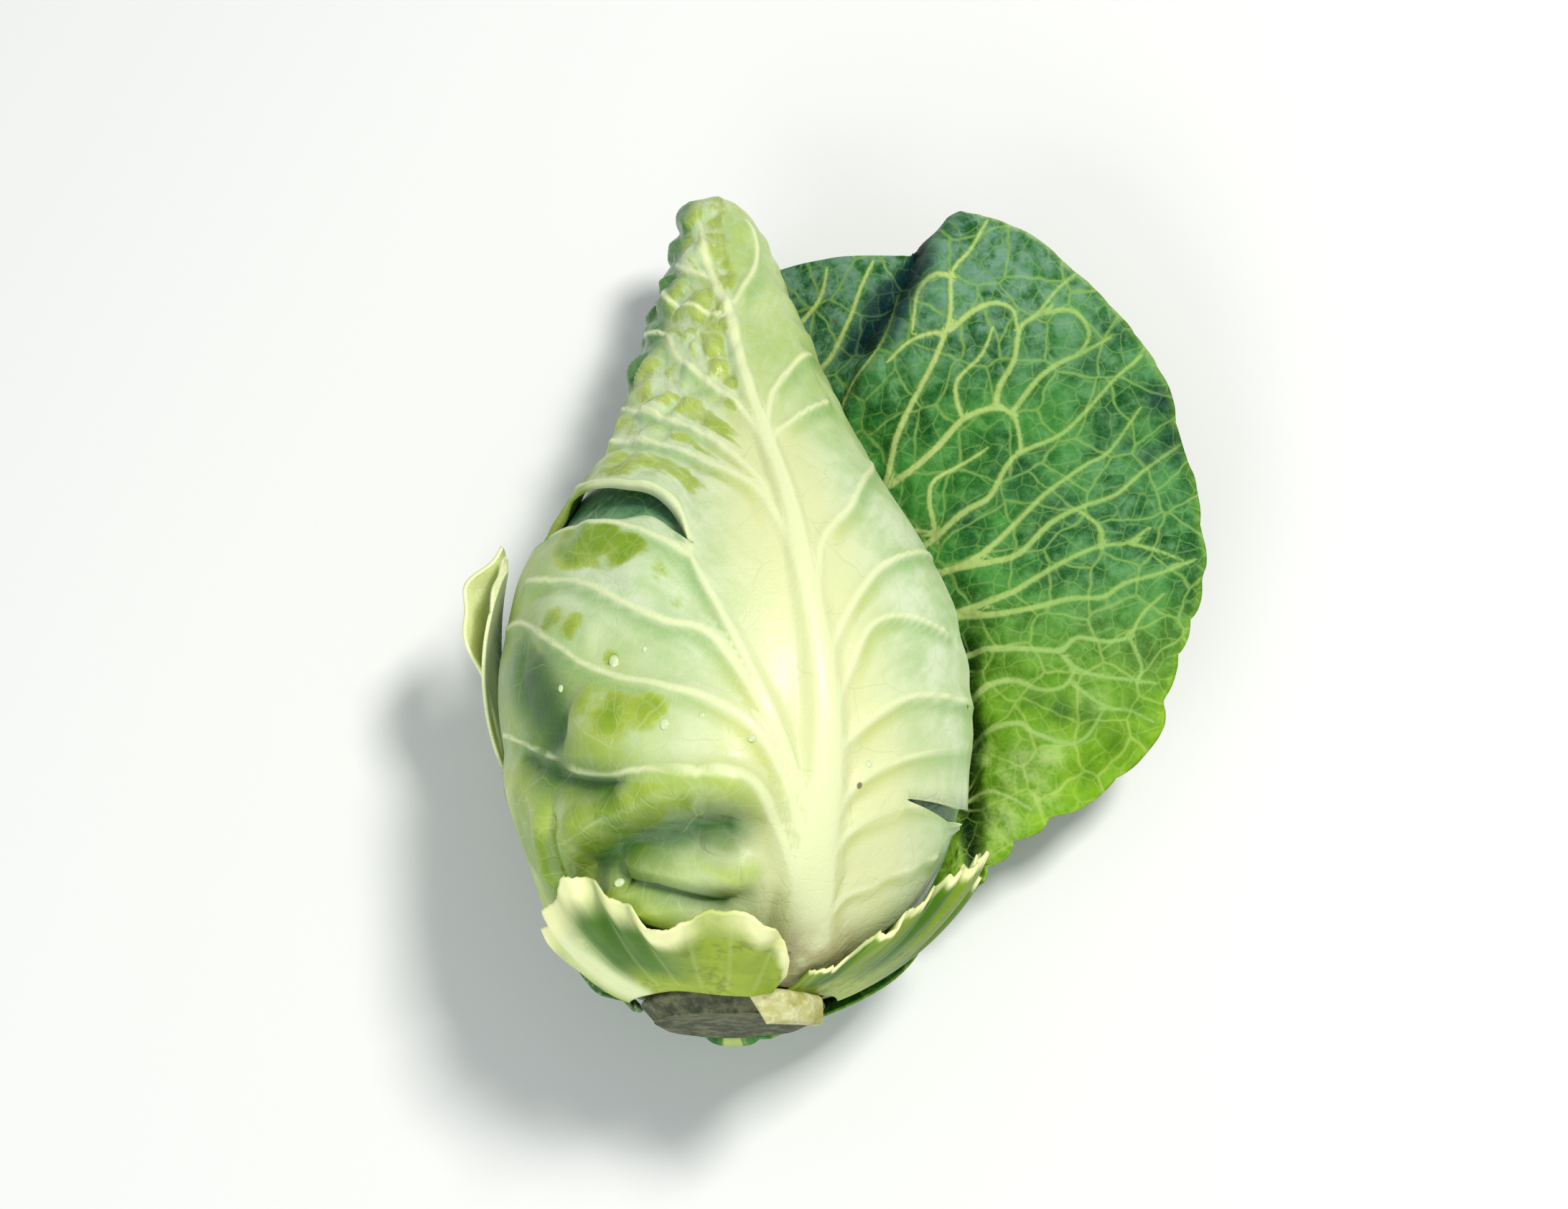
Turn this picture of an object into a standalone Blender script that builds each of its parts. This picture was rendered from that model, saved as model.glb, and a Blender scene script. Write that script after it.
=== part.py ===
"""A pointed cabbage head lying on its back, one loose outer leaf still on it.

The head's form is a turned profile on a slightly bent axis. Every wrapping leaf is a thin blade
laid on that form at its own distance from it, with its ribs and folds raised from the blade.
+Y runs from the cut stem to the tip, +X to the side of the loose leaf, +Z up from the table.
Lengths are in millimetres until the mesh is made.
"""
import math

import bmesh
import bpy
import numpy as np

for old in list(bpy.data.objects):
    bpy.data.objects.remove(old, do_unlink=True)

MM = 0.001

# driving dimensions
# the wrapped head: distance along it and radius there, stem end to tip
HEAD_PROFILE = [(-72, 19), (-67, 31.5), (-57, 45), (-38, 56.5), (-17, 61.5), (4, 62.5), (25, 60.5),
                (46, 53.5), (66, 43.5), (87, 34), (108, 26), (129, 19), (143, 14.5), (152, 11.5),
                (158.5, 8), (162, 4), (163, 0)]
AXIS_Y = [-90, -40, 0, 60, 110, 165]
AXIS_X = [-5, -1, 0, -3, -5, -8]
AXIS_Z = [57, 61, 62, 58, 52, 44]
FLANK_DIP = 6.0                    # the left flank is flatter near the stem

# each layer: inner face measured from the head's form, thickness, lowest height of the inner face
HEART_OFF, HEART_FLOOR = -5.4, 7.0
INNER_OFF, INNER_THICK, INNER_FLOOR = -4.1, 1.2, 5.4
FRONT_OFF, FRONT_THICK, FRONT_FLOOR = -1.4, 1.3, 4.4
BACK_OFF, BACK_THICK, BACK_FLOOR = 1.0, 1.1, 3.0
OUTER_THICK = 1.3                  # its underside is the flat spot at height 0

STEM_END, STEM_RADIUS, STEM_COLLAR = -79.5, 20.0, 23.6

# midrib of the front leaf: angle round the head, place along it, half width, height
FRONT_MIDRIB = [(44, -69.5, 11, 2.4), (28, -62, 10, 3.0), (22, -48, 8.5, 3.4), (21, -31, 7, 3.6),
                (20, -14, 6, 3.4), (18, 5, 5.2, 3.2), (16, 24, 4.6, 3.0), (15, 51, 4.0, 2.6),
                (13, 68, 3.6, 2.3), (8, 91, 3.2, 2.0), (0, 118, 2.8, 1.6), (-18, 139, 2.6, 1.2),
                (-26, 150, 2.4, 0.9)]
# side ribs: points (angle, place along), then half width and height at the start and at the end
FRONT_RIBS = [
    ([(17, -35), (8, -16), (-2, 8), (-11, 28)], 4.4, 1.9, 3.8, 1.7),
    ([(-11, 30), (-14, 40), (-20, 48), (-32, 52), (-55, 58)], 3.8, 1.9, 3.2, 1.3),
    ([(-11, 28), (-18, 33), (-26, 37), (-40, 42), (-60, 45)], 3.4, 1.3, 3.0, 0.7),
    ([(14, -32), (10, -23), (-5, 5), (-17, 11), (-28, 18), (-37, 24), (-49, 29), (-66, 33)],
     4.2, 1.7, 3.2, 1.0),
    ([(16, -40), (5, -20), (-6, -11), (-17, -7), (-28, -3), (-38, 3), (-46, 10), (-62, 20), (-80, 24)],
     4.2, 1.7, 3.2, 1.1),
    ([(17, -50), (8, -36), (0, -29), (-12, -28), (-32, -25), (-46, -20), (-60, -13), (-76, -6)],
     4.4, 1.9, 3.4, 1.3),
    ([(15, 20), (12, 39), (6, 51), (-6, 59), (-15, 64), (-33, 70), (-52, 74)], 3.6, 1.4, 2.8, 0.7),
    ([(15, 30), (10, 44), (8, 53), (-2, 65), (-14, 73), (-36, 81), (-62, 89)], 3.6, 1.4, 2.8, 0.7),
    ([(13, 60), (10, 71), (1, 83), (-14, 93), (-30, 102), (-43, 111), (-70, 115)], 3.4, 1.4, 2.6, 0.8),
    ([(2, 112), (-22, 118), (-40, 121), (-60, 129)], 2.8, 1.0, 2.4, 0.6),
    ([(-8, 129), (-30, 133), (-55, 138)], 2.6, 0.9, 2.2, 0.5),
    ([(0, 116), (6, 119), (26, 131), (40, 142), (33, 151)], 2.8, 1.0, 2.2, 0.6),
    ([(13, 66), (16, 78), (22, 88), (42, 101), (58, 106)], 3.0, 1.1, 2.4, 0.6),
    ([(15, 44), (15, 67), (25, 76), (38, 83), (54, 89)], 3.0, 1.0, 2.4, 0.6),
    ([(18, 2), (18, 14), (22, 34), (34, 47), (48, 60), (70, 72)], 3.8, 1.5, 2.8, 0.8),
    ([(20, -18), (20, -6), (23, 9), (36, 28), (56, 39), (74, 44)], 4.0, 1.6, 2.8, 0.9),
    ([(21, -20), (22, -12), (26, 0), (32, 12), (43, 17), (60, 17)], 3.4, 1.2, 2.6, 0.8),
    ([(20, -38), (21, -28), (26, -18), (42, -5), (66, 0), (76, 2)], 4.0, 1.7, 3.0, 1.1),
    ([(21, -42), (26, -33), (31, -27), (43, -20), (70, -12)], 4.0, 1.7, 3.0, 1.1),
    ([(22, -48), (30, -39), (36, -35), (46, -31), (60, -29), (74, -31)], 4.0, 1.8, 3.2, 1.5),
    ([(26, -60), (36, -53), (45, -49), (54, -45), (66, -40)], 4.0, 1.5, 2.8, 0.8),
]
# folds of the front leaf near the stem: points, half width, height (below 0 a valley)
FRONT_FOLDS = [
    ([(12, -38), (2, -34), (-12, -31), (-22, -33), (-33, -35), (-46, -34), (-60, -29)], 5.5, 3.6),
    ([(8, -44), (-1, -39), (-12, -38), (-24, -41), (-33, -45), (-46, -46), (-60, -42)], 3.6, -5.5),
    ([(10, -50), (-2, -46), (-14, -43)], 3.4, 2.4),
    ([(6, -52), (-8, -51), (-20, -50), (-28, -48)], 4.2, 3.4),
    ([(8, -56), (-6, -56), (-19, -54), (-30, -50)], 2.8, -4.5),
    ([(10, -61), (-8, -60), (-22, -57), (-36, -52)], 4.0, 2.8),
    ([(-26, -28), (-40, -26), (-54, -20), (-68, -13)], 3.4, -4.0),
    ([(-66, 10), (-62, 0), (-57, -9), (-52, -15)], 6.0, -4.2),
    ([(-92, 32), (-84, 20), (-80, 4), (-78, -8)], 5.0, 2.2),
    ([(-66, -26), (-76, -22), (-90, -22)], 7.0, 2.4),
    ([(-58, 38), (-70, 36), (-84, 34)], 7.0, 2.4),
    ([(-62, 24), (-78, 28), (-92, 26)], 3.4, -3.0),
]
TEAR_TIP = (-11.0, 29.0)           # where the tear on the left ends, angle and place along
NOTCH_TIP = (44.0, -33.0)          # where the small tear on the right ends

# the loose outer leaf: sections across it, a cup round the head and then a blade bending out
CUP_Y = [-85, -76, -60, -40, -15, 15, 45, 75, 100, 130, 165]
CUP_R = [22, 24.8, 48, 60.5, 66, 66, 60.5, 54, 48, 44, 42]
CUP_Z = [57.4, 58.0, 60, 61.5, 62, 62.2, 61, 60.5, 60, 60, 60]
LEAVE = [138, 136, 132, 126, 122, 124, 128, 136, 144, 150, 152]
OUT_NEAR = [-26, -26, -24, -20, -14, -8, -2, 3, 5, 6, 6]
OUT_FAR = [-36, -36, -34, -30, -26, -20, -12, -6, -4, -2, -2]
BEND = 36.0
# its outline, (across, along): right margin from the stem to the peak, top, left margin
OUTER_RIGHT = [(12, -79), (40, -70), (62, -52), (71, -38), (78, -37), (87, -29), (101, -20), (120, -9),
               (130, 4), (137, 26), (143, 46), (142, 70), (135, 92), (128, 113), (118, 127),
               (104, 141), (86, 154), (72, 159)]
OUTER_TOP = [(-16, 142), (4, 150), (20, 153), (39, 153), (52, 152), (62, 151), (66, 156), (72, 159)]
OUTER_LEFT = [(-8, -78), (-26, -62), (-40, -38), (-46, 0), (-44, 40), (-36, 80), (-26, 115), (-16, 142)]
OUTER_MIDRIB = [(1, -78, 7, 5.0), (6, -66, 7, 4.6), (14, -48, 6.5, 3.6), (22, -10, 5.5, 2.2),
                (26, 30, 5, 2.2), (25, 70, 4.4, 2.2), (20, 105, 3.8, 1.8), (12, 143, 3, 1.0)]
OUTER_RIBS = [
    ([(19, 108), (27, 118), (33, 123), (39, 133), (43, 142), (47, 150)], 3.0, 1.6, 2.2, 0.8),
    ([(21, 133), (30, 141), (33, 150)], 2.4, 1.0, 2.0, 0.6),
    ([(22, 88), (33, 102), (39, 111), (45, 117), (51, 126), (54, 138)], 3.0, 1.6, 2.2, 0.8),
    ([(25, 62), (36, 70), (47, 77), (51, 83), (53, 94), (56, 102), (64, 117), (68, 128), (69, 140),
      (75, 147), (80, 155)], 3.8, 2.2, 2.4, 0.9),
    ([(69, 139), (64, 140), (59, 135), (57, 124)], 2.4, 1.0, 2.0, 0.6),
    ([(68, 124), (75, 129), (81, 131), (86, 129), (87, 124)], 2.4, 0.9, 2.4, 0.8),
    ([(52, 81), (59, 85), (65, 91), (72, 99), (81, 102), (86, 100), (88, 95), (89, 89)], 3.2, 1.6, 3.0, 1.5),
    ([(81, 102), (82, 108), (86, 115), (88, 124), (93, 128), (99, 135), (105, 140)], 2.8, 1.3, 2.0, 0.7),
    ([(93, 128), (103, 129), (108, 123), (105, 117)], 2.2, 0.8, 2.2, 0.7),
    ([(86, 101), (93, 110), (100, 115), (105, 117), (114, 122)], 2.4, 1.1, 2.0, 0.6),
    ([(26, 42), (40, 52), (57, 60), (66, 63), (75, 71), (81, 75), (85, 84), (89, 89), (100, 94),
      (108, 102), (115, 110), (123, 117)], 4.0, 2.3, 2.2, 0.8),
    ([(67, 63), (66, 67), (64, 75), (65, 81), (73, 86), (79, 90)], 2.4, 1.0, 2.0, 0.6),
    ([(25, 22), (45, 42), (62, 53), (70, 53), (77, 55), (83, 60), (90, 68), (98, 77), (108, 85),
      (114, 89), (122, 101)], 4.0, 2.3, 2.2, 0.8),
    ([(70, 53), (83, 55), (91, 58), (99, 67), (107, 72), (117, 76), (125, 84), (134, 91)], 3.2, 1.8, 2.2, 0.7),
    ([(24, 0), (50, 26), (70, 39), (81, 42), (90, 46), (97, 51), (107, 57), (114, 60), (121, 61), (127, 66)],
     3.8, 2.1, 2.2, 0.7),
    ([(114, 60), (113, 66), (107, 71)], 2.2, 0.9, 2.0, 0.6),
    ([(72, 40), (85, 39), (95, 41), (105, 44), (115, 45), (121, 49), (131, 52), (140, 56)], 3.0, 1.7, 2.2, 0.6),
    ([(23, -16), (50, 12), (68, 26), (80, 29), (90, 29), (103, 29), (108, 33), (117, 32), (123, 34),
      (127, 41), (132, 46)], 3.6, 1.8, 2.2, 0.6),
    ([(103, 29), (108, 24), (116, 22), (131, 21)], 2.4, 1.1, 2.0, 0.5),
    ([(60, 2), (80, 16), (84, 19), (91, 20), (98, 17), (104, 18), (108, 24)], 3.4, 2.2, 2.4, 1.0),
    ([(20, -38), (50, -14), (79, 3), (91, 7), (96, 4), (104, 2), (110, 3), (116, 13)], 3.4, 1.8, 2.2, 0.7),
    ([(15, -56), (48, -32), (66, -20), (81, -12), (88, -13), (95, -17)], 3.0, 1.5, 2.0, 0.6),
]


# small helpers
def smooth(x, knots, values):
    """a smooth line through the given values"""
    knots, values = np.asarray(knots, float), np.asarray(values, float)
    x = np.asarray(x, float)
    slopes = np.gradient(values, knots)
    i = np.clip(np.searchsorted(knots, x) - 1, 0, len(knots) - 2)
    span = knots[i + 1] - knots[i]
    s = np.clip((x - knots[i]) / span, 0, 1)
    return (values[i] * (1 + 2 * s) * (1 - s) ** 2 + slopes[i] * span * s * (1 - s) ** 2
            + values[i + 1] * s * s * (3 - 2 * s) + slopes[i + 1] * span * s * s * (s - 1))


def step(x, a, b):
    s = np.clip((np.asarray(x, float) - a) / (b - a), 0, 1)
    return s * s * (3 - 2 * s)


def along(points, pieces=6):
    """points on a smooth line through the given ones"""
    points = np.asarray(points, float)
    knots = np.arange(len(points))
    t = np.linspace(0, knots[-1], pieces * knots[-1] + 1)
    return np.stack([smooth(t, knots, points[:, c]) for c in range(points.shape[1])], -1)


def to_line(points, line):
    """distance of each point to a line of short runs, and how far along the line that is"""
    best = np.full(points.shape[:-1], 1e9)
    where = np.zeros(points.shape[:-1])
    for k in range(len(line) - 1):
        run = line[k + 1] - line[k]
        f = np.clip(((points - line[k]) @ run) / max(run @ run, 1e-9), 0, 1)
        d = np.linalg.norm(points - line[k] - f[..., None] * run, axis=-1)
        near = d < best
        best = np.where(near, d, best)
        where = np.where(near, (k + f) / (len(line) - 1), where)
    return best, where


def bump(d, half_width):
    return np.clip(1 - (d / half_width) ** 2, 0, 1) ** 1.5


# the head's form
PROFILE = np.array(HEAD_PROFILE, float)
RUN = np.concatenate([[0], np.cumsum(np.linalg.norm(np.diff(PROFILE, axis=0), axis=1))])
FINE = np.linspace(0, RUN[-1], 700)
FINE_Y = smooth(FINE, RUN, PROFILE[:, 0])
FINE_R = np.maximum(smooth(FINE, RUN, PROFILE[:, 1]), 0)
SLOPE = np.hypot(np.gradient(FINE_Y, FINE), np.gradient(FINE_R, FINE))
OUT_Y = -np.gradient(FINE_R, FINE) / SLOPE
OUT_R = np.gradient(FINE_Y, FINE) / SLOPE
FULL_RUN = RUN[-1]


def run_at(y):
    """length along the profile from the stem end to the place y"""
    return np.interp(y, FINE_Y, FINE)


def on_head(phi, run, off=0.0, floor=-99.0):
    """a point at an angle round the head (0 on top, +90 right) and a length along its profile"""
    y, r = np.interp(run, FINE, FINE_Y), np.interp(run, FINE, FINE_R)
    y, r = y + off * np.interp(run, FINE, OUT_Y), r + off * np.interp(run, FINE, OUT_R)
    a = np.radians(phi)
    turn = (np.asarray(phi, float) + 270) % 360 - 180       # 0 at the left flank
    r = r - FLANK_DIP * np.exp(-(turn / 48) ** 2 - ((y + 40) / 24) ** 2)
    x = smooth(y, AXIS_Y, AXIS_X) + r * np.sin(a)
    z = smooth(y, AXIS_Y, AXIS_Z) + r * np.cos(a)
    return np.stack(np.broadcast_arrays(x, y, np.maximum(z, floor)), -1)


# making blades
def material(name, colour, roughness):
    mat = bpy.data.materials.new(name)
    mat.use_nodes = True
    shader = mat.node_tree.nodes["Principled BSDF"]
    shader.inputs["Base Color"].default_value = (*colour, 1)
    shader.inputs["Roughness"].default_value = roughness
    shader.inputs["Metallic"].default_value = 0.0
    return mat


HEAD = bpy.data.collections.new("cabbage_head")
bpy.context.scene.collection.children.link(HEAD)


def keep(ob, name, mat):
    """name a finished object, give it its material and put it in the head's collection"""
    ob.name = ob.data.name = name
    ob.data.materials.clear()
    ob.data.materials.append(mat)
    for other in list(ob.users_collection):
        other.objects.unlink(ob)
    HEAD.objects.link(ob)
    return ob


def facing_out(ob):
    mesh = bmesh.new()
    mesh.from_mesh(ob.data)
    bmesh.ops.recalc_face_normals(mesh, faces=mesh.faces)
    mesh.to_mesh(ob.data)
    mesh.free()
    for face in ob.data.polygons:
        face.use_smooth = True


def grid_places(ob, cols, rows):
    """column and row of every vertex of a new unit grid"""
    co = np.empty(len(ob.data.vertices) * 3)
    ob.data.vertices.foreach_get("co", co)
    co = co.reshape(-1, 3)
    return np.rint((co[:, 0] + 0.5) * cols).astype(int), np.rint((co[:, 1] + 0.5) * rows).astype(int)


def blade(name, mat, points, thick, outward=1, open_cells=None):
    """a leaf from a grid of points [column, row], with its thickness at each of them"""
    cols, rows = points.shape[0] - 1, points.shape[1] - 1
    bpy.ops.mesh.primitive_grid_add(x_subdivisions=cols, y_subdivisions=rows, size=1)
    ob = bpy.context.object
    i, j = grid_places(ob, cols, rows)
    ob.data.vertices.foreach_set("co", (points[i, j] * MM).ravel())
    thick = np.broadcast_to(thick, points.shape[:2])
    most = float(thick.max())
    group = ob.vertex_groups.new(name="thickness")
    for v in range(len(i)):
        group.add([v], float(thick[i[v], j[v]]) / most, "REPLACE")
    mesh = bmesh.new()
    mesh.from_mesh(ob.data)
    if open_cells is not None:
        gone = [f for f in mesh.faces
                if open_cells(min(i[v.index] for v in f.verts), min(j[v.index] for v in f.verts))]
        bmesh.ops.delete(mesh, geom=gone, context="FACES")
    bmesh.ops.remove_doubles(mesh, verts=mesh.verts, dist=0.02 * MM)
    mesh.to_mesh(ob.data)
    mesh.free()
    ob.modifiers.new("triangles", "TRIANGULATE")
    solid = ob.modifiers.new("thickness", "SOLIDIFY")
    solid.thickness = most * MM
    solid.offset = outward
    solid.vertex_group = "thickness"
    bpy.ops.object.select_all(action="DESELECT")
    ob.select_set(True)
    bpy.context.view_layer.objects.active = ob
    for step_name in ("triangles", "thickness"):
        bpy.ops.object.modifier_apply(modifier=step_name)
    ob.vertex_groups.clear()
    for face in ob.data.polygons:
        face.use_smooth = True
    return keep(ob, name, mat)


def snapped(phi, run, place, lines, reach=0.34):
    """grid vertices close to a rib are moved onto it, so that the rib's crest is an edge"""
    pts = place(phi, run)
    near = np.minimum(np.linalg.norm(np.diff(pts, axis=0, append=pts[-2:-1]), axis=-1),
                      np.linalg.norm(np.diff(pts, axis=1, append=pts[:, -2:-1]), axis=-1))
    best = near * reach
    new_phi, new_run = phi.copy(), run.copy()
    for line in lines:
        flat = along(line, 8)
        solid = place(flat[:, 0], flat[:, 1])
        d, where = to_line(pts, solid)
        k = where * (len(flat) - 1)
        move = d < best
        best = np.where(move, d, best)
        new_phi = np.where(move, np.interp(k, np.arange(len(flat)), flat[:, 0]), new_phi)
        new_run = np.where(move, np.interp(k, np.arange(len(flat)), flat[:, 1]), new_run)
    inner = np.zeros(phi.shape, bool)
    inner[1:-1, 1:-1] = True
    return np.where(inner, new_phi, phi), np.where(inner, new_run, run)


def rib_height(pts, place, midrib, ribs, scale=1.5):
    """height of the ribs over a blade at the given points"""
    line = along(midrib, 8)
    d, where = to_line(pts, place(line[:, 0], line[:, 1]))
    k = where * (len(line) - 1)
    at = np.arange(len(line))
    high = np.interp(k, at, line[:, 3]) * bump(d, np.interp(k, at, line[:, 2]))
    for points, wide_0, high_0, wide_1, high_1 in ribs:
        line = along(points, 6)
        d, where = to_line(pts, place(line[:, 0], line[:, 1]))
        rib = scale * (high_0 + (high_1 - high_0) * where) * bump(d, wide_0 + (wide_1 - wide_0) * where)
        high = np.maximum(high, rib)
    return high


# materials
PALE = material("pale_leaf", (0.60, 0.70, 0.30), 0.42)
INNER = material("inner_leaf", (0.16, 0.30, 0.12), 0.45)
CREAM = material("heart_leaves", (0.72, 0.76, 0.42), 0.5)
DARK = material("outer_leaf", (0.07, 0.19, 0.07), 0.42)
BACK = material("back_leaf", (0.30, 0.45, 0.20), 0.45)
CURL = material("curled_leaf", (0.32, 0.48, 0.16), 0.45)
STUB = material("leaf_base", (0.50, 0.60, 0.16), 0.45)
RIB = material("leaf_stalk", (0.78, 0.80, 0.56), 0.5)
STEM = material("cut_stem", (0.50, 0.52, 0.42), 0.7)


# heart: the packed inner leaves, one dense body with their margins raised on it
def make_heart():
    turns, rings = 26, 18
    bpy.ops.mesh.primitive_uv_sphere_add(segments=turns, ring_count=rings, radius=1)
    ob = bpy.context.object
    first, last = run_at(-64), run_at(157)
    for v in ob.data.vertices:
        polar = math.acos(max(-1, min(1, -v.co.z)))
        phi = math.degrees(math.atan2(v.co.x, v.co.y))
        run = first + (last - first) * (1 - math.cos(polar)) / 2
        full = on_head(phi, run, HEART_OFF, HEART_FLOOR)
        y = full[1]
        axis = np.array([smooth(y, AXIS_Y, AXIS_X), y, smooth(y, AXIS_Y, AXIS_Z)])
        close = min(1.0, math.sin(polar) / 0.34)
        lap = 0.9 * (((phi / 360 * 3 + run / FULL_RUN * 1.2) % 1) - 1)
        reach = full - axis
        size = np.linalg.norm(reach)
        v.co = (axis + reach * max(0.0, size * close + lap * close) / max(size, 1e-6)) * MM
    facing_out(ob)
    return keep(ob, "heart", CREAM)


# wrapping leaves that lie plainly on the head
def wrapped(name, mat, side_a, side_b, base, tip, off, thick, floor, cols, rows):
    """a leaf between two margins (angles at base, middle and tip) from place base to place tip"""
    u, v = np.meshgrid(np.linspace(0, 1, cols + 1), np.linspace(0, 1, rows + 1), indexing="ij")
    a, b = smooth(v, [0, 0.5, 1], side_a), smooth(v, [0, 0.5, 1], side_b)
    first, last = run_at(base), run_at(tip)
    run = first + (last - first) * v + 7 * np.sin(math.pi * u) * (v - 0.5)
    phi = a + (b - a) * u
    # it swells where the front leaf is torn open over it
    swell = 0.7 * np.exp(-((phi + 84) / 24) ** 2 - ((run - run_at(57)) / 20) ** 2)
    return blade(name, mat, on_head(phi, run, off + swell, floor), thick)


# front leaf: pale wrapper with its back outward, thick white midrib, torn at the left
TEAR_ROW, NOTCH_ROW = 0.351, 0.175


def front_rise(phi, v):
    """rows climb from the midrib to both margins, along the side ribs"""
    mid = smooth(v, [0, 0.05, 0.12, 0.3, 0.55, 0.72, 0.85, 0.94, 1], [40, 26, 21, 18, 15, 9, 0, -20, -10])
    climb = smooth(np.abs(phi - mid), [0, 10, 25, 45, 70, 115], [0, 8, 21, 33, 41, 46])
    share = smooth(v, [0, 0.12, 0.25, 0.5, 0.7, 0.85, 0.95, 1], [0.02, 0.36, 0.9, 1, 0.75, 0.4, 0.1, 0])
    return climb * share


def front_run(phi, v):
    margin = run_at(smooth(phi, [-112, -90, -60, -30, 0, 45, 60], [-38, -46, -57, -65, -69, -70.5, -69]))
    middle = 5 + (FULL_RUN - 5) * v + front_rise(phi, v)
    blend = step(v, 0, 0.2)
    bend = smooth(phi, [-112, -95, -75, -55, -32, -18, -11, 20], [-8, -6, 4, 8, 9, 7, 0, 0])
    return np.minimum(margin * (1 - blend) + middle * blend
                      + bend * np.exp(-((v - TEAR_ROW) / 0.07) ** 2), FULL_RUN)


def front_margins(v, upper):
    """the left and right margin angles of each row"""
    left = smooth(v, [0, 0.1, 0.3, 0.5], [-98, -104, -105, -105])
    above = smooth(v - TEAR_ROW, [0, 0.02, 0.035, 0.05, 0.08, 0.12, 0.2, 0.27, 0.45, 0.66],
                   [-97, -91, -76, -62, -55, -58, -70, -92, -106, -112])
    end = np.interp(front_run(60.0, v), FINE, FINE_Y)
    right = smooth(end, [-76, -64, -58, -48, -40, -31, 0, 24, 36, 60, 90, 163],
                   [52, 56, 62, 68, 70, 75, 78, 78, 85, 96, 105, 112])
    return np.where(upper, above, left), right


def front_off(phi, run, lip_up, lip_low):
    """how far the blade's inner face stands off its place on the head, folds and lips"""
    pts = on_head(phi, run, FRONT_OFF)
    y = pts[..., 1]
    off = 3.2 * step(phi, 14, -6) * step(y, -64, -52) * step(y, 0, -22)
    off = np.maximum(off, 3.0 * step(phi, -36, -56) * step(phi, -112, -96) * step(y, -56, -40)
                     * step(y, 52, 36))
    for points, wide, high in FRONT_FOLDS:
        line = along(points, 6)
        d, where = to_line(pts, on_head(line[:, 0], run_at(line[:, 1]), FRONT_OFF))
        ends = np.minimum(1, 5 * where + 0.25) * np.minimum(1, 5 * (1 - where) + 0.25)
        off = off + high * ends * np.exp(-(d / wide) ** 2)
    rng = np.random.default_rng(5)
    for _ in range(46):
        at = np.array([rng.uniform(-100, 80), rng.uniform(92, 158)])
        wide = rng.uniform(3.2, 6)
        d = np.linalg.norm(pts - on_head(at[0], run_at(at[1]), FRONT_OFF), axis=-1)
        off = off + rng.uniform(0.5, 1.1) * np.exp(-(d / wide) ** 2) * step(at[1], 90, 112)
    off = np.maximum(off, 0) * step(phi, 104, 80) * step(phi, -97, -80)
    return off + lip_up * smooth(phi, [-97, -75, -50, -20], [0.1, 0.9, 3.2, 4.6]) + lip_low * 1.0


def front_place(phi, y):
    return on_head(phi, run_at(y), FRONT_OFF)


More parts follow.
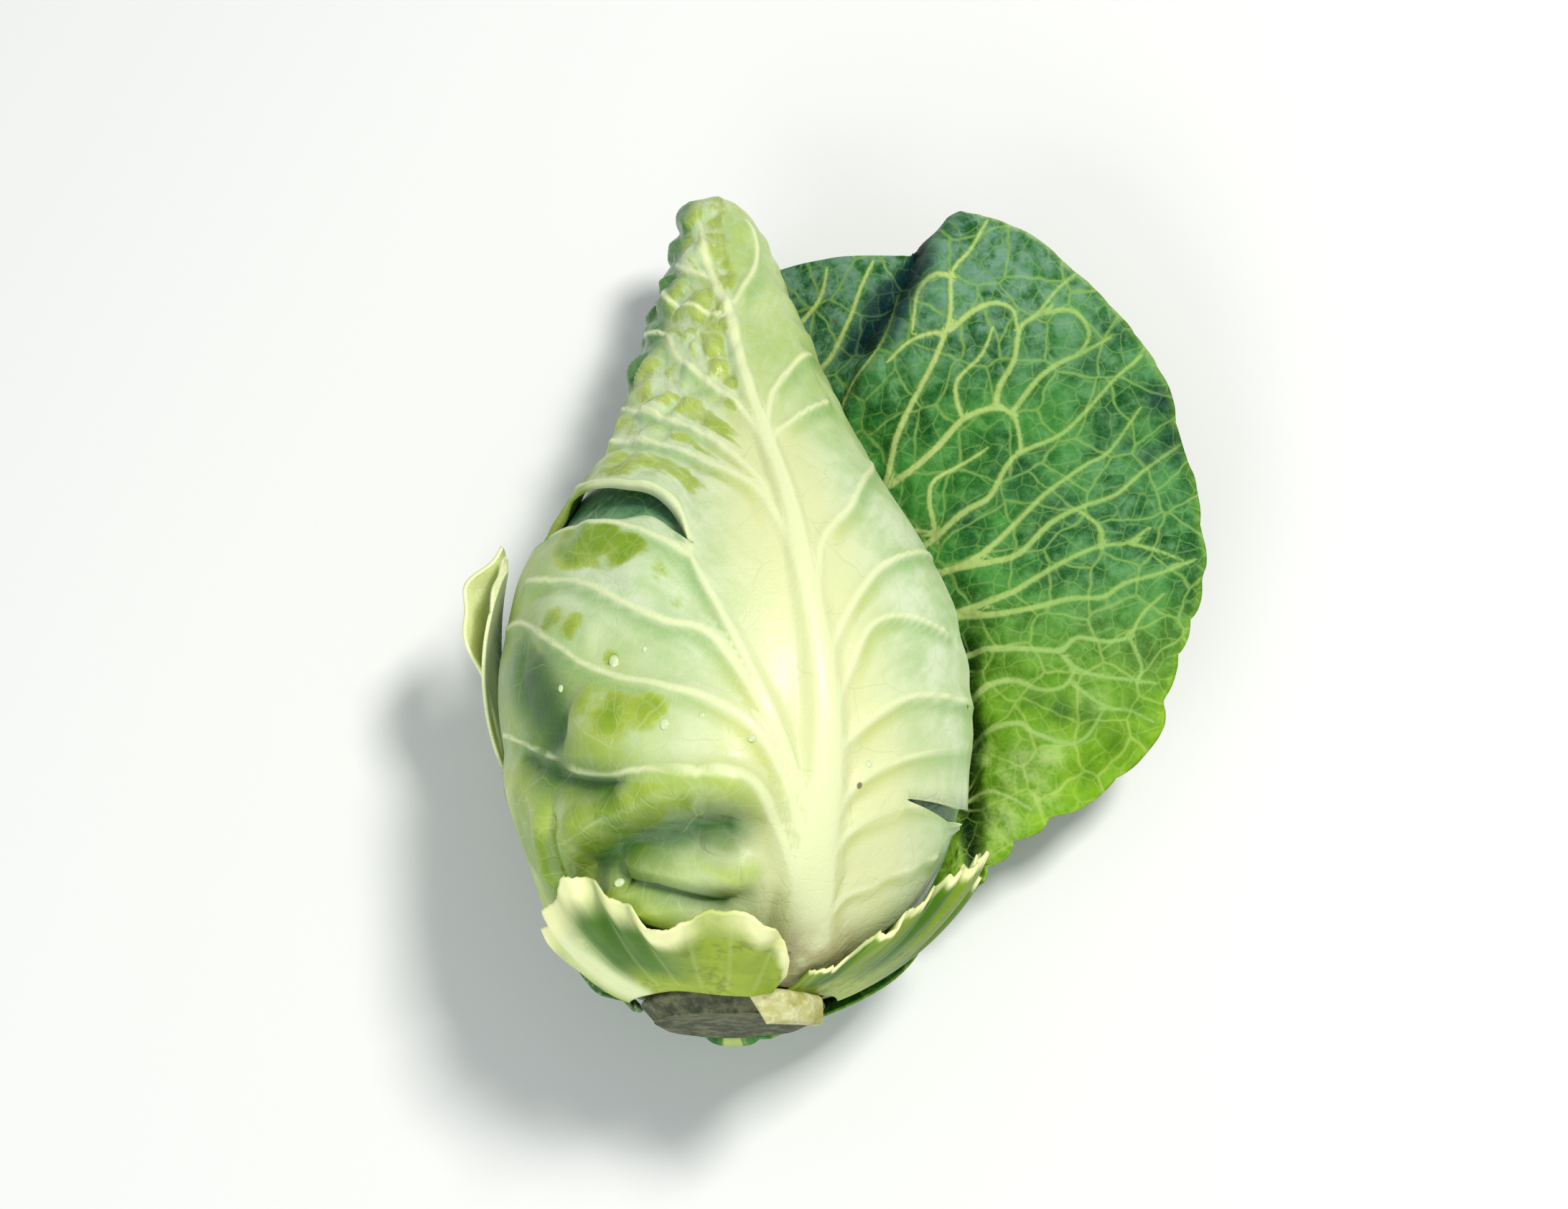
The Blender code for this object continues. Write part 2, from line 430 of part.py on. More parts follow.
def make_front():
    rows = np.concatenate([np.linspace(0, NOTCH_ROW, 9), np.linspace(NOTCH_ROW, TEAR_ROW, 9),
                           TEAR_ROW + np.array([0, 0.014, 0.03, 0.048, 0.07]),
                           np.linspace(0.095, 1 - TEAR_ROW, 20) + TEAR_ROW])
    notch_j, tear_j = 8, 17            # last row below each of the two slits
    cols = 34
    mid_col = 22
    u, v = np.meshgrid(np.arange(cols + 1), rows, indexing="ij")
    upper = np.arange(len(rows))[None, :] > tear_j
    left, right = front_margins(v, upper)
    mid = smooth(v, [0, 0.05, 0.12, 0.3, 0.55, 0.72, 0.85, 0.94, 1], [40, 26, 21, 18, 15, 9, 0, -20, -10])
    phi = np.where(u <= mid_col, left + (mid - left) * u / mid_col,
                   mid + (right - mid) * (u - mid_col) / (cols - mid_col))
    run = front_run(phi, v)
    ribs = [[p[:2] for p in FRONT_MIDRIB]] + [r[0] for r in FRONT_RIBS]
    y = np.interp(run, FINE, FINE_Y)
    snap_phi, snap_y = snapped(phi, y, front_place, ribs)
    hold = y > 98
    for j in (notch_j, notch_j + 1, tear_j, tear_j + 1, len(rows) - 1, len(rows) - 2):
        hold[:, j] = True
    phi = np.where(hold, phi, snap_phi)
    run = np.where(hold, run, run_at(snap_y))

    # the two slits open: how far each lip has moved along the head and off it
    row_run = front_run(phi, TEAR_ROW)
    gap = np.abs(run - row_run)
    fade = np.exp(-gap / 17)
    side = np.clip((TEAR_TIP[0] - phi) / 5, 0, 1)
    up = smooth(phi, [-112, -97, -82, -68, -55, -32, -20, -14, -11], [0, 0, 3, 8, 7, 6, 6, 4, 0]) * fade
    low = smooth(phi, [-112, -97, -74, -52, -33, -24, -16, -11], [-3, -3, -3, -6, -9, -3, -1, 0]) * fade
    lip_up = np.where(upper, side * fade * smooth(phi, [-112, -60, -25, -11], [1, 1, 0.7, 0]), 0)
    lip_low = np.where(~upper, side * fade, 0)
    run = run + np.where(upper, up, low) * (phi < TEAR_TIP[0])
    above = np.arange(len(rows))[None, :] > notch_j
    fade = np.exp(-np.abs(run - front_run(phi, NOTCH_ROW)) / 8)
    out = np.clip((phi - NOTCH_TIP[0]) / 22, 0, 1)
    run = run + np.where(above, 1.0, -5.5) * fade * np.sqrt(out) * (phi > NOTCH_TIP[0])
    run = np.clip(run, 0, FULL_RUN)

    off = front_off(phi, run, lip_up, lip_low) + np.where(above, 1.4, 0.0) * fade * out
    pts = on_head(phi, run, FRONT_OFF + off, FRONT_FLOOR)
    flat = on_head(phi, run, FRONT_OFF)
    high = rib_height(flat, front_place, FRONT_MIDRIB, FRONT_RIBS)
    high = high * step(phi, 88, 72) * step(phi, -92, -78) * step(pts[..., 1], 161, 150)

    def is_open(i, j):
        if j == tear_j:
            return phi[i + 1, j] <= TEAR_TIP[0] + 1e-6
        return j == notch_j and phi[i, j] >= NOTCH_TIP[0] - 1e-6

    # beyond each slit's end the two rows are one
    for j, shut in ((tear_j, phi[:, tear_j] > TEAR_TIP[0]), (notch_j, phi[:, notch_j] < NOTCH_TIP[0])):
        pts[shut, j + 1] = pts[shut, j]
        high[shut, j + 1] = high[shut, j]
    tip_i = int(np.argmin(np.where(phi[:, tear_j] <= TEAR_TIP[0], TEAR_TIP[0] - phi[:, tear_j], 1e9)))
    pts[tip_i, tear_j + 1] = pts[tip_i, tear_j]
    tip_i = int(np.argmin(np.where(phi[:, notch_j] >= NOTCH_TIP[0], phi[:, notch_j] - NOTCH_TIP[0], 1e9)))
    pts[tip_i, notch_j + 1] = pts[tip_i, notch_j]
    return blade("front_leaf", PALE, pts, FRONT_THICK + high, open_cells=is_open)


# loose outer leaf
S_STEP = 0.5
S_LINE = np.arange(-140, 240.5, S_STEP)
Y_LINE = np.arange(-90, 171, 1.0)


def outer_sections():
    """the leaf's cross-sections, found by following their heading from under the head outward"""
    y, s = Y_LINE[None, :], S_LINE[:, None]
    radius = smooth(y, CUP_Y, CUP_R)
    leave = math.pi - np.radians(smooth(y, CUP_Y, LEAVE))
    near, far = np.radians(smooth(y, CUP_Y, OUT_NEAR)), np.radians(smooth(y, CUP_Y, OUT_FAR))
    start = leave * radius
    bent = step(s, start, start + BEND)
    past = np.clip((s - start - BEND) / 90, 0, 1)
    heading = np.where(s < start, s / radius, leave * (1 - bent) + bent * (near + (far - near) * past))
    middle = int(np.searchsorted(S_LINE, 0))
    out = []
    for rate in (np.cos(heading), np.sin(heading)):
        total = np.cumsum((rate[1:] + rate[:-1]) / 2 * S_STEP, axis=0)
        total = np.vstack([np.zeros((1, rate.shape[1])), total])
        out.append(total - total[middle])
    return out[0] + smooth(y, AXIS_Y, AXIS_X), out[1] + smooth(y, CUP_Y, CUP_Z) - radius


OUTER_X, OUTER_Z = outer_sections()


def between(table, s, y):
    i = np.clip((s - S_LINE[0]) / S_STEP, 0, len(S_LINE) - 1.001)
    j = np.clip(y - Y_LINE[0], 0, len(Y_LINE) - 1.001)
    a, b = i.astype(int), j.astype(int)
    f, g = i - a, j - b
    return ((table[a, b] * (1 - f) + table[a + 1, b] * f) * (1 - g)
            + (table[a, b + 1] * (1 - f) + table[a + 1, b + 1] * f) * g)


def outer_place(s, y):
    s, y = np.asarray(s, float), np.asarray(y, float)
    x, z = between(OUTER_X, s, y), between(OUTER_Z, s, y)
    fold = s - (60 + 0.55 * (y - 148))
    z = z + 12 * step(fold, -6, 7) * step(y, 85, 140) * (1 - 0.35 * step(fold, 25, 80))
    return np.stack([x, y, np.maximum(z, OUTER_THICK)], -1)


def make_outer():
    cols, rows = 34, 32
    u, v = np.meshgrid(np.linspace(0, 1, cols + 1), np.linspace(0, 1, rows + 1), indexing="ij")
    corners = [np.array(p, float) for p in (OUTER_LEFT[0], OUTER_RIGHT[0], OUTER_LEFT[-1], OUTER_RIGHT[-1])]

    def edge(points, t):
        pts = along(points, 10)
        run = np.concatenate([[0], np.cumsum(np.linalg.norm(np.diff(pts, axis=0), axis=1))])
        return np.stack([np.interp(t * run[-1], run, pts[:, c]) for c in (0, 1)], -1)

    left, right, top = edge(OUTER_LEFT, v), edge(OUTER_RIGHT, v), edge(OUTER_TOP, u)
    low = corners[0] + (corners[1] - corners[0]) * u[..., None]
    uu, vv = u[..., None], v[..., None]
    flat = ((1 - uu) * left + uu * right + (1 - vv) * low + vv * top
            - ((1 - uu) * (1 - vv) * corners[0] + uu * (1 - vv) * corners[1]
               + (1 - uu) * vv * corners[2] + uu * vv * corners[3]))
    s, y = flat[..., 0], flat[..., 1]
    lines = [[p[:2] for p in OUTER_MIDRIB]] + [r[0] for r in OUTER_RIBS]
    near_fold = (np.abs(s - 60 - 0.55 * (y - 148)) < 13) & (y > 84)
    snap_s, snap_y = snapped(s, y, outer_place, lines)
    s, y = np.where(near_fold, s, snap_s), np.where(near_fold, y, snap_y)
    pts = outer_place(s, y)
    high = rib_height(pts, outer_place, OUTER_MIDRIB, OUTER_RIBS)
    across = np.gradient(pts, axis=0)
    down = np.gradient(pts, axis=1)
    normal = np.cross(across, down)
    normal /= np.linalg.norm(normal, axis=-1, keepdims=True)
    free = step(s, 58, 74) + step(y, 66, 86) * step(s, 30, 46)
    free = np.clip(free, 0, 1)
    # waves along the free margin, puffs between the ribs and the roll beside the head
    edge_near = step(u, 0.72, 1.0) * free
    wave = edge_near * (1.8 * np.sin(y / 7.5 + 0.6) + 1.1 * np.sin(y / 3.9))
    wave = wave * step(v, 0.05, 0.2)
    puff = 0.5 * np.sin(s / 5.2) * np.sin(y / 6.1 + s / 19) * free * (1 - bump(high, 1.2))
    pts = pts + normal * (wave + puff + 0.5 * np.minimum(high, 3.0) * free)[..., None]
    room = np.maximum(pts[..., 2] - OUTER_THICK, 0)
    under = np.minimum(high * 0.9, room * 0.85)
    return blade("outer_leaf", DARK, pts, OUTER_THICK + under, outward=-1)


# the small curled leaf at the left, a loft through lines from its stalk to its tip
CURL_LINES = [
    # left margin, its belly, keel, right side, right fold, inner margin
    [(-30, -72.5, 46), (-43, -58, 40), (-53, -38, 37), (-64.5, -14, 38), (-66.5, -4, 45),
     (-69, 8, 52), (-73, 19, 60), (-76.5, 31, 65), (-74, 42, 63), (-66.5, 52, 60)],
    [(-29.6, -73, 44), (-42.6, -58.5, 37.5), (-52.6, -38, 34), (-65, -14, 34), (-66.5, -3, 39),
     (-68.5, 9, 44), (-71, 20, 49), (-73, 32, 54), (-71.5, 42, 54), (-66.4, 51.4, 57)],
    [(-28.6, -73.2, 42), (-41.4, -58.8, 35), (-51.4, -38.2, 31), (-65, -14, 31), (-66, -3, 35),
     (-67, 10, 39), (-68, 22, 43), (-69, 33, 47), (-69, 42, 49), (-66.2, 50.4, 55)],
    [(-27, -73, 41), (-39.4, -58.4, 35), (-49.6, -38, 32), (-63.4, -14, 32), (-64, -3, 37),
     (-64.8, 10, 42), (-65.4, 22, 48), (-66, 33, 53), (-66.2, 42, 54), (-65.6, 49.6, 55)],
    [(-26.6, -72.6, 43), (-39, -58, 38), (-49.4, -38, 35), (-62.6, -14, 37), (-62.8, -3, 44),
     (-63.2, 9, 52), (-63.4, 20, 62), (-63.6, 31, 68), (-63.8, 40, 66), (-64.8, 49, 58)],
    [(-27.8, -72.3, 45), (-40.6, -57.8, 40), (-50.8, -37.8, 38), (-63.4, -14, 41), (-64.6, -4, 48),
     (-65.4, 8, 56), (-66.4, 19, 67), (-67.2, 29, 73), (-66.6, 38, 71), (-65.4, 48, 61)],
]


def make_curled():
    cols, rows = 12, 19
    lines = np.array(CURL_LINES, float)
    u = np.linspace(0, len(lines) - 1, cols + 1)
    v = np.linspace(0, lines.shape[1] - 1, rows + 1)
    by_row = np.stack([[smooth(v, np.arange(lines.shape[1]), line[:, c]) for c in range(3)]
                       for line in lines])
    pts = np.empty((cols + 1, rows + 1, 3))
    for j in range(rows + 1):
        for c in range(3):
            pts[:, j, c] = smooth(u, np.arange(len(lines)), by_row[:, c, j])
    uu, vv = np.meshgrid(u / u[-1], v / v[-1], indexing="ij")
    pts[..., 0] -= 0.9 * np.sin(vv * 38) * step(uu, 0.35, 0.0) * step(vv, 0.5, 0.7)
    pts[..., 2] += 0.7 * np.sin(vv * 45) * step(np.abs(uu - 0.5), 0.35, 0.5) * step(vv, 0.5, 0.7)
    # stay clear of the head
    y = pts[..., 1]
    centre = np.stack([smooth(y, AXIS_Y, AXIS_X), smooth(y, AXIS_Y, AXIS_Z)], -1)
    reach = pts[..., [0, 2]] - centre
    size = np.linalg.norm(reach, axis=-1, keepdims=True)
    dip = FLANK_DIP * 0.8 * np.exp(-((y + 40) / 24) ** 2)
    slant = 1 / np.maximum(np.interp(run_at(y), FINE, OUT_R), 0.45)
    clear = np.interp(run_at(y), FINE, FINE_R) - dip + 5.0 * (1 + (slant - 1) * step(y, -72, -66))
    least = (np.maximum(clear, STEM_COLLAR + 1.6) + 2.2 * step(y, -14, 8))[..., None]
    pts[..., [0, 2]] = centre + reach * np.maximum(size, least) / size
    keel = 1.6 * bump(np.abs(uu - 0.4) * 10, 1.6)
    return blade("curled_leaf", CURL, pts, 1.0 + keel * (1 - 0.6 * vv), outward=1)


# leaf bases left round the stem
def base_leaf(name, span, top, base, off, flare, thick, cols, rows, seed):
    """a broken leaf base from the stem out to an uneven top margin, standing off the head"""
    rng = np.random.default_rng(seed)
    u, v = np.meshgrid(np.linspace(0, 1, cols + 1), np.linspace(0, 1, rows + 1), indexing="ij")
    phi = span[0] + (span[1] - span[0]) * u
    first = run_at(smooth(phi, *base))
    last = run_at(smooth(phi, *top))
    run = first + (last - first) * v
    stand = smooth(phi, *off)
    lift = smooth(phi, *flare) * v ** 2.2
    crumple = rng.uniform(-0.5, 0.5, cols + 1)[:, None] * step(v, 0.3, 1)
    pts = on_head(phi, run, stand + np.maximum(lift + crumple, 0), 1.0)
    return blade(name, STUB, pts, thick)


def make_bases():
    base_leaf("base_leaf_left", (-94, 24),
              ([-94, -66, -57, -47, -42, -36, -30, -24, -13, -4, 4, 12, 19, 24],
               [-54, -55, -53, -50, -51, -56, -60, -64, -63, -61, -61, -63, -65, -67.5]),
              ([-94, -60, -20, 24], [-69.6, -70.2, -70.2, -70.2]),
              ([-94, -60, -30, 0, 24], [2.9, 2.9, 3.4, 5.4, 5.6]),
              ([-94, -70, -47, -30, -13, 4, 24], [1.0, 3.0, 6.5, 4.0, 7.5, 7.5, 2.5]), 1.3, 22, 8, 3)
    base_leaf("base_leaf_right", (36, 96),
              ([36, 48, 56, 62, 70, 76, 84, 90, 96], [-67.5, -64.5, -59, -56, -48, -44, -37, -36, -42]),
              ([36, 96], [-70, -69]),
              ([36, 60, 80, 96], [4.4, 3.6, 2.8, 2.8]),
              ([36, 50, 70, 84, 96], [1.5, 2.5, 3.5, 5.0, 4.0]), 1.2, 15, 8, 8)
    base_leaf("base_leaf_under", (62, 118),
              ([62, 80, 95, 106, 118], [-67, -61, -56, -56, -62]),
              ([62, 118], [-70, -70]),
              ([62, 118], [0.3, 0.3]), ([62, 90, 118], [0.0, 0.4, 0.6]), 1.2, 10, 6, 4)


# stem, turned round the head's axis
def make_stem():
    profile = [(STEM_RADIUS - 0.6, STEM_END), (STEM_RADIUS, STEM_END + 0.7),
               (STEM_RADIUS + 2.0, STEM_END + 2.6), (STEM_COLLAR, STEM_END + 4.4),
               (STEM_COLLAR - 1, -73.4), (18.0, -71.6), (16.4, -67.5), (12, -66.4)]
    mesh = bpy.data.meshes.new("stem")
    mesh.from_pydata([(0, STEM_END * MM, 0)] + [(r * MM, y * MM, 0) for r, y in profile]
                     + [(0, -66.0 * MM, 0)], [(k, k + 1) for k in range(len(profile) + 1)], [])
    ob = bpy.data.objects.new("stem", mesh)
    bpy.context.scene.collection.objects.link(ob)
    bpy.ops.object.select_all(action="DESELECT")
    ob.select_set(True)
    bpy.context.view_layer.objects.active = ob
    turn = ob.modifiers.new("turn", "SCREW")
    turn.axis = "Y"
    turn.steps = turn.render_steps = 36
    turn.use_merge_vertices = True
    turn.merge_threshold = 1e-5
    turn.use_normal_calculate = True
    bpy.ops.object.modifier_apply(modifier="turn")
    # uneven outline, with shallow steps where leaves have come off
    for v in ob.data.vertices:
        x, y, z = np.array(v.co) / MM
        a = math.atan2(z, x)
        grow = 1 + (0.035 * math.sin(3 * a + 0.5) + 0.02 * math.sin(7 * a)) * float(step(y, -72.5, -76))
        v.co = ((x * grow + float(smooth(y, AXIS_Y, AXIS_X)) + 1.2) * MM, y * MM,
                (z * grow * 0.98 + float(smooth(y, AXIS_Y, AXIS_Z))) * MM)
    facing_out(ob)
    return keep(ob, "stem", STEM)


# the white stump of a broken leaf stalk, on the stem's side
def make_stump():
    u, v = np.meshgrid(np.linspace(0, 1, 9), np.linspace(0, 1, 5), indexing="ij")
    phi = 15 + 52 * u - 3 * v
    y = STEM_END - 4.8 + 6.6 * v + 1.5 * u * (1 - v)
    r = STEM_COLLAR + 1.4 + 0.8 * v * np.sin(math.pi * np.clip(u, 0.05, 0.95))
    a = np.radians(phi)
    x = smooth(y, AXIS_Y, AXIS_X) + 1.2 + r * np.sin(a)
    z = smooth(y, AXIS_Y, AXIS_Z) + r * np.cos(a)
    pts = np.stack([x, y, z], -1)
    return blade("cut_petiole", RIB, pts, 3.0 + 1.2 * np.sin(math.pi * u))


make_heart()
wrapped("left_leaf", INNER, (-150, -150, -120), (-6, -6, -12), -60, 148, INNER_OFF, INNER_THICK,
        INNER_FLOOR, 10, 15)
wrapped("right_leaf", INNER, (6, 6, 12), (150, 150, 120), -60, 148, INNER_OFF, INNER_THICK,
        INNER_FLOOR, 10, 15)
make_front()
wrapped("back_leaf", BACK, (122, 116, 112), (256, 252, 240), -67, 150, BACK_OFF, BACK_THICK,
        BACK_FLOOR, 13, 17)
make_outer()
make_curled()
make_bases()
make_stem()
make_stump()

count = 0
for ob in HEAD.objects:
    ob.data.calc_loop_triangles()
    count += len(ob.data.loop_triangles)
    print(ob.name, len(ob.data.loop_triangles))
print("triangles in all", count)
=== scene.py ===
# %% [markdown]
# # A pointed cabbage head
# The head lies on its back with its cut stem towards us and its tip away. This lesson dresses the
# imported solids: every leaf is made again with a finer mesh in the same place, with its ribs, folds and
# blisters, and then every surface gets its finish. Lengths are in millimetres until a mesh is made.

# %% The frame: the solids that every piece has to fit
import math

import bmesh
import bpy
import numpy as np
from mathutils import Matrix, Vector


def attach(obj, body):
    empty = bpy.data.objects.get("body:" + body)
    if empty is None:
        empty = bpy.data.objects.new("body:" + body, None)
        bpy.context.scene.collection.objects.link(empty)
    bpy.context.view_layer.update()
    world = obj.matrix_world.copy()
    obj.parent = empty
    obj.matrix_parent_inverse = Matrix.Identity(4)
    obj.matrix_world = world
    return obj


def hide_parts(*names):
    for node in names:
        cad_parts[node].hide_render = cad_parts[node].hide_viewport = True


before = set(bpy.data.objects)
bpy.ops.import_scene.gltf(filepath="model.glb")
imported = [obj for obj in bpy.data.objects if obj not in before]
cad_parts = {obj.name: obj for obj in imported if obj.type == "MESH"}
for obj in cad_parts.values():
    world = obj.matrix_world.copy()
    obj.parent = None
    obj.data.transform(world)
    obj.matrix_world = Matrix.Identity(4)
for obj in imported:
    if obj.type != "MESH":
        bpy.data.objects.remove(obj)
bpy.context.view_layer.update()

# %% [markdown]
# Every form here is drawn with a few small tools: a smooth line through given values, a soft step
# between two of them, and the distance from a point to a line. They work on whole grids at once, so a
# leaf of thirty thousand points is still one expression. A curve object or a lattice could bend a sheet
# too, but a formula can be used twice: for the mesh here and for a second leaf that lies close on it.

# %% Smooth lines and soft steps
MM = 0.001                         # metres in a millimetre


def smooth(x, knots, values):
    """a smooth line through the given values"""
    knots, values = np.asarray(knots, float), np.asarray(values, float)
    x = np.asarray(x, float)
    slopes = np.gradient(values, knots)
    i = np.clip(np.searchsorted(knots, x) - 1, 0, len(knots) - 2)
    span = knots[i + 1] - knots[i]
    s = np.clip((x - knots[i]) / span, 0, 1)
    return (values[i] * (1 + 2 * s) * (1 - s) ** 2 + slopes[i] * span * s * (1 - s) ** 2
            + values[i + 1] * s * s * (3 - 2 * s) + slopes[i + 1] * span * s * s * (s - 1))


def step(x, a, b):
    """0 before a, 1 after b and soft between"""
    s = np.clip((np.asarray(x, float) - a) / (b - a), 0, 1)
    return s * s * (3 - 2 * s)


def along(points, pieces=6):
    """points on a smooth line through the given ones"""
    points = np.asarray(points, float)
    knots = np.arange(len(points))
    t = np.linspace(0, knots[-1], pieces * knots[-1] + 1)
    return np.stack([smooth(t, knots, points[:, c]) for c in range(points.shape[1])], -1)


def length_along(points):
    """the length from the first point to each one"""
    return np.concatenate([[0], np.cumsum(np.linalg.norm(np.diff(points, axis=0), axis=1))])


def shares(cols, rows):
    """how far across and along each place of a grid is, from 0 to 1"""
    return np.meshgrid(np.linspace(0, 1, cols + 1), np.linspace(0, 1, rows + 1), indexing="ij")


def bump(d, half_width):
    """1 in the middle, 0 from half_width outward and round between"""
    return np.clip(1 - (d / half_width) ** 2, 0, 1) ** 1.5


print("a soft step at a quarter, a half and three quarters:", step([0.25, 0.5, 0.75], 0, 1))

# %% The distance to a line
FAR = 99.0                         # stands for anywhere beyond reach


def to_line(points, line, flat=None, flat_line=None, reach=14.0):
    """distance of each point to a line of short runs, how far along it is, and its side"""
    best = np.full(points.shape[:-1], FAR)
    where, side = np.zeros(points.shape[:-1]), np.ones(points.shape[:-1])
    near = np.all((points > line.min(0) - reach) & (points < line.max(0) + reach), axis=-1)
    p = points[near]
    if not len(p):
        return best, where, side
    q = flat[near] if flat is not None else None
    d_near, w_near, s_near = np.full(len(p), FAR), np.zeros(len(p)), np.ones(len(p))
    for k in range(len(line) - 1):
        run = line[k + 1] - line[k]
        f = np.clip(((p - line[k]) @ run) / max(run @ run, 1e-9), 0, 1)
        d = np.linalg.norm(p - line[k] - f[:, None] * run, axis=-1)
        closer = d < d_near
        d_near = np.where(closer, d, d_near)
        w_near = np.where(closer, (k + f) / (len(line) - 1), w_near)
        if q is not None:
            run_2 = flat_line[k + 1] - flat_line[k]
            turn = run_2[0] * (q[:, 1] - flat_line[k, 1]) - run_2[1] * (q[:, 0] - flat_line[k, 0])
            s_near = np.where(closer, np.where(turn < 0, -1.0, 1.0), s_near)
    best[near], where[near], side[near] = d_near, w_near, s_near
    return best, where, side


tried, _where, _side = to_line(np.array([[3.0, 5, 0]]), np.array([[0.0, 0, 0], [0, 9, 0]]))
print("a place beside a line is", tried[0], "mm from it")

# %% [markdown]
# A wrapped leaf follows the head, so the head's form comes first: a turned profile on an axis that
# bends a little towards the tip. A place on it is an angle round the head and a length along its
# profile, and a distance off it lays one leaf over another. Spin could turn the same profile, but then
# every leaf would have to be cut out of it and moved off it by hand.

# %% The head's form
HEAD_PROFILE = [(-72, 19), (-67, 31.5), (-57, 45), (-38, 56.5), (-17, 61.5), (4, 62.5), (25, 60.5),
                (46, 53.5), (66, 43.5), (87, 34), (108, 26), (129, 19), (143, 14.5), (152, 11.5),
                (158.5, 8), (162, 4), (163, 0)]
AXIS_Y = [-90, -40, 0, 60, 110, 165]
AXIS_X = [-5, -1, 0, -3, -5, -8]
AXIS_Z = [57, 61, 62, 58, 52, 44]
FLANK_DIP = 6.0                    # the left flank is flatter near the stem
INNER_OFF, FRONT_OFF, BACK_OFF = -4.1, -1.4, 1.0
INNER_FLOOR, FRONT_FLOOR, BACK_FLOOR = 5.4, 4.4, 3.0

PROFILE = np.array(HEAD_PROFILE, float)
RUN = length_along(PROFILE)
FINE = np.linspace(0, RUN[-1], 700)
FINE_Y = smooth(FINE, RUN, PROFILE[:, 0])
FINE_R = np.maximum(smooth(FINE, RUN, PROFILE[:, 1]), 0)
SLOPE = np.hypot(np.gradient(FINE_Y, FINE), np.gradient(FINE_R, FINE))
OUT_Y = -np.gradient(FINE_R, FINE) / SLOPE
OUT_R = np.gradient(FINE_Y, FINE) / SLOPE
FULL_RUN = RUN[-1]


def axis_at(y):
    """x and z of the head's axis at a place along it"""
    return smooth(y, AXIS_Y, AXIS_X), smooth(y, AXIS_Y, AXIS_Z)


def run_at(y):
    """length along the profile from the stem end to the place y"""
    return np.interp(y, FINE_Y, FINE)


def on_head(phi, run, off=0.0, floor=-99.0):
    """a point at an angle round the head (0 on top, +90 right) and a length along its profile"""
    y, r = np.interp(run, FINE, FINE_Y), np.interp(run, FINE, FINE_R)
    y, r = y + off * np.interp(run, FINE, OUT_Y), r + off * np.interp(run, FINE, OUT_R)
    a = np.radians(phi)
    turn = (np.asarray(phi, float) + 270) % 360 - 180       # 0 at the left flank
    r = r - FLANK_DIP * np.exp(-(turn / 48) ** 2 - ((y + 40) / 24) ** 2)
    x, z = axis_at(y)
    return np.stack(np.broadcast_arrays(x + r * np.sin(a), y, np.maximum(z + r * np.cos(a), floor)), -1)


def place_on_head(phi, y):
    """where the wrapper leaf lies at an angle round the head and a place along it"""
    return on_head(phi, run_at(y), FRONT_OFF)


print("length along the head's profile", round(float(FULL_RUN)), "mm")

# %% [markdown]
# Materials are node trees. Written one link at a time they are hard to read, so one small class wraps a
# socket and lets numbers that vary over a surface be added, multiplied and compared as in plain
# arithmetic, and one method adds any other node.

# %% Node trees as expressions


class Value:
    """a socket; arithmetic on it adds Math nodes to its tree"""

    def __init__(self, nodes, socket):
        self.nodes, self.socket = nodes, socket

    def maths(self, operation, other=0.0, turned=False):
        pair = (other, self) if turned else (self, other)
        return self.nodes.add("ShaderNodeMath", {"operation": operation}, {0: pair[0], 1: pair[1]})

    def __add__(self, other):
        return self.maths("ADD", other)

    def __sub__(self, other):
        return self.maths("SUBTRACT", other)

    def __rsub__(self, other):
        return self.maths("SUBTRACT", other, turned=True)

    def __mul__(self, other):
        return self.maths("MULTIPLY", other)

    def __abs__(self):
        return self.maths("ABSOLUTE")

    def most(self, other):
        return self.maths("MAXIMUM", other)

    __radd__, __rmul__ = __add__, __mul__


class Nodes:
    """a node tree, with one call for each node"""

    def __init__(self, tree):
        self.tree = tree

    def add(self, kind, settings=None, values=None, out=0):
        """a new node with these settings and inputs; gives back one of its outputs"""
        node = self.tree.nodes.new(kind)
        for key, value in (settings or {}).items():
            setattr(node, key, value)
        for key, value in (values or {}).items():
            if isinstance(value, Value):
                self.tree.links.new(value.socket, node.inputs[key])
            else:
                node.inputs[key].default_value = value
        return Value(self, node.outputs[out])

    def vector(self, operation, a, b=(0, 0, 0), scale=1.0):
        return self.add("ShaderNodeVectorMath", {"operation": operation}, {0: a, 1: b, 3: scale})

    def soft(self, value, a, b):
        """0 where value is a, 1 where it is b, soft between"""
        return self.add("ShaderNodeMapRange", {"interpolation_type": "SMOOTHSTEP"},
                        {0: value, 1: a, 2: b, 3: 0.0, 4: 1.0})

    def mix(self, share, a, b):
        """the colour a where share is 0 and b where it is 1; a tuple is a colour in 0 to 255 values"""
        a, b = (c if isinstance(c, Value) else tone(*c) for c in (a, b))
        return self.add("ShaderNodeMix", {"data_type": "RGBA"}, {0: share, 6: a, 7: b}, out=2)

    def noise(self, place, scale, detail=2.0, rough=0.5, out=0):
        return self.add("ShaderNodeTexNoise", None,
                        {"Vector": place, "Scale": scale, "Detail": detail, "Roughness": rough}, out)

    def cells(self, place, scale, feature="DISTANCE_TO_EDGE", flat=False, out=0):
        return self.add("ShaderNodeTexVoronoi",
                        {"feature": feature, "voronoi_dimensions": "2D" if flat else "3D"},
                        {"Vector": place, "Scale": scale}, out)


# %% Colours, and patterns that wander


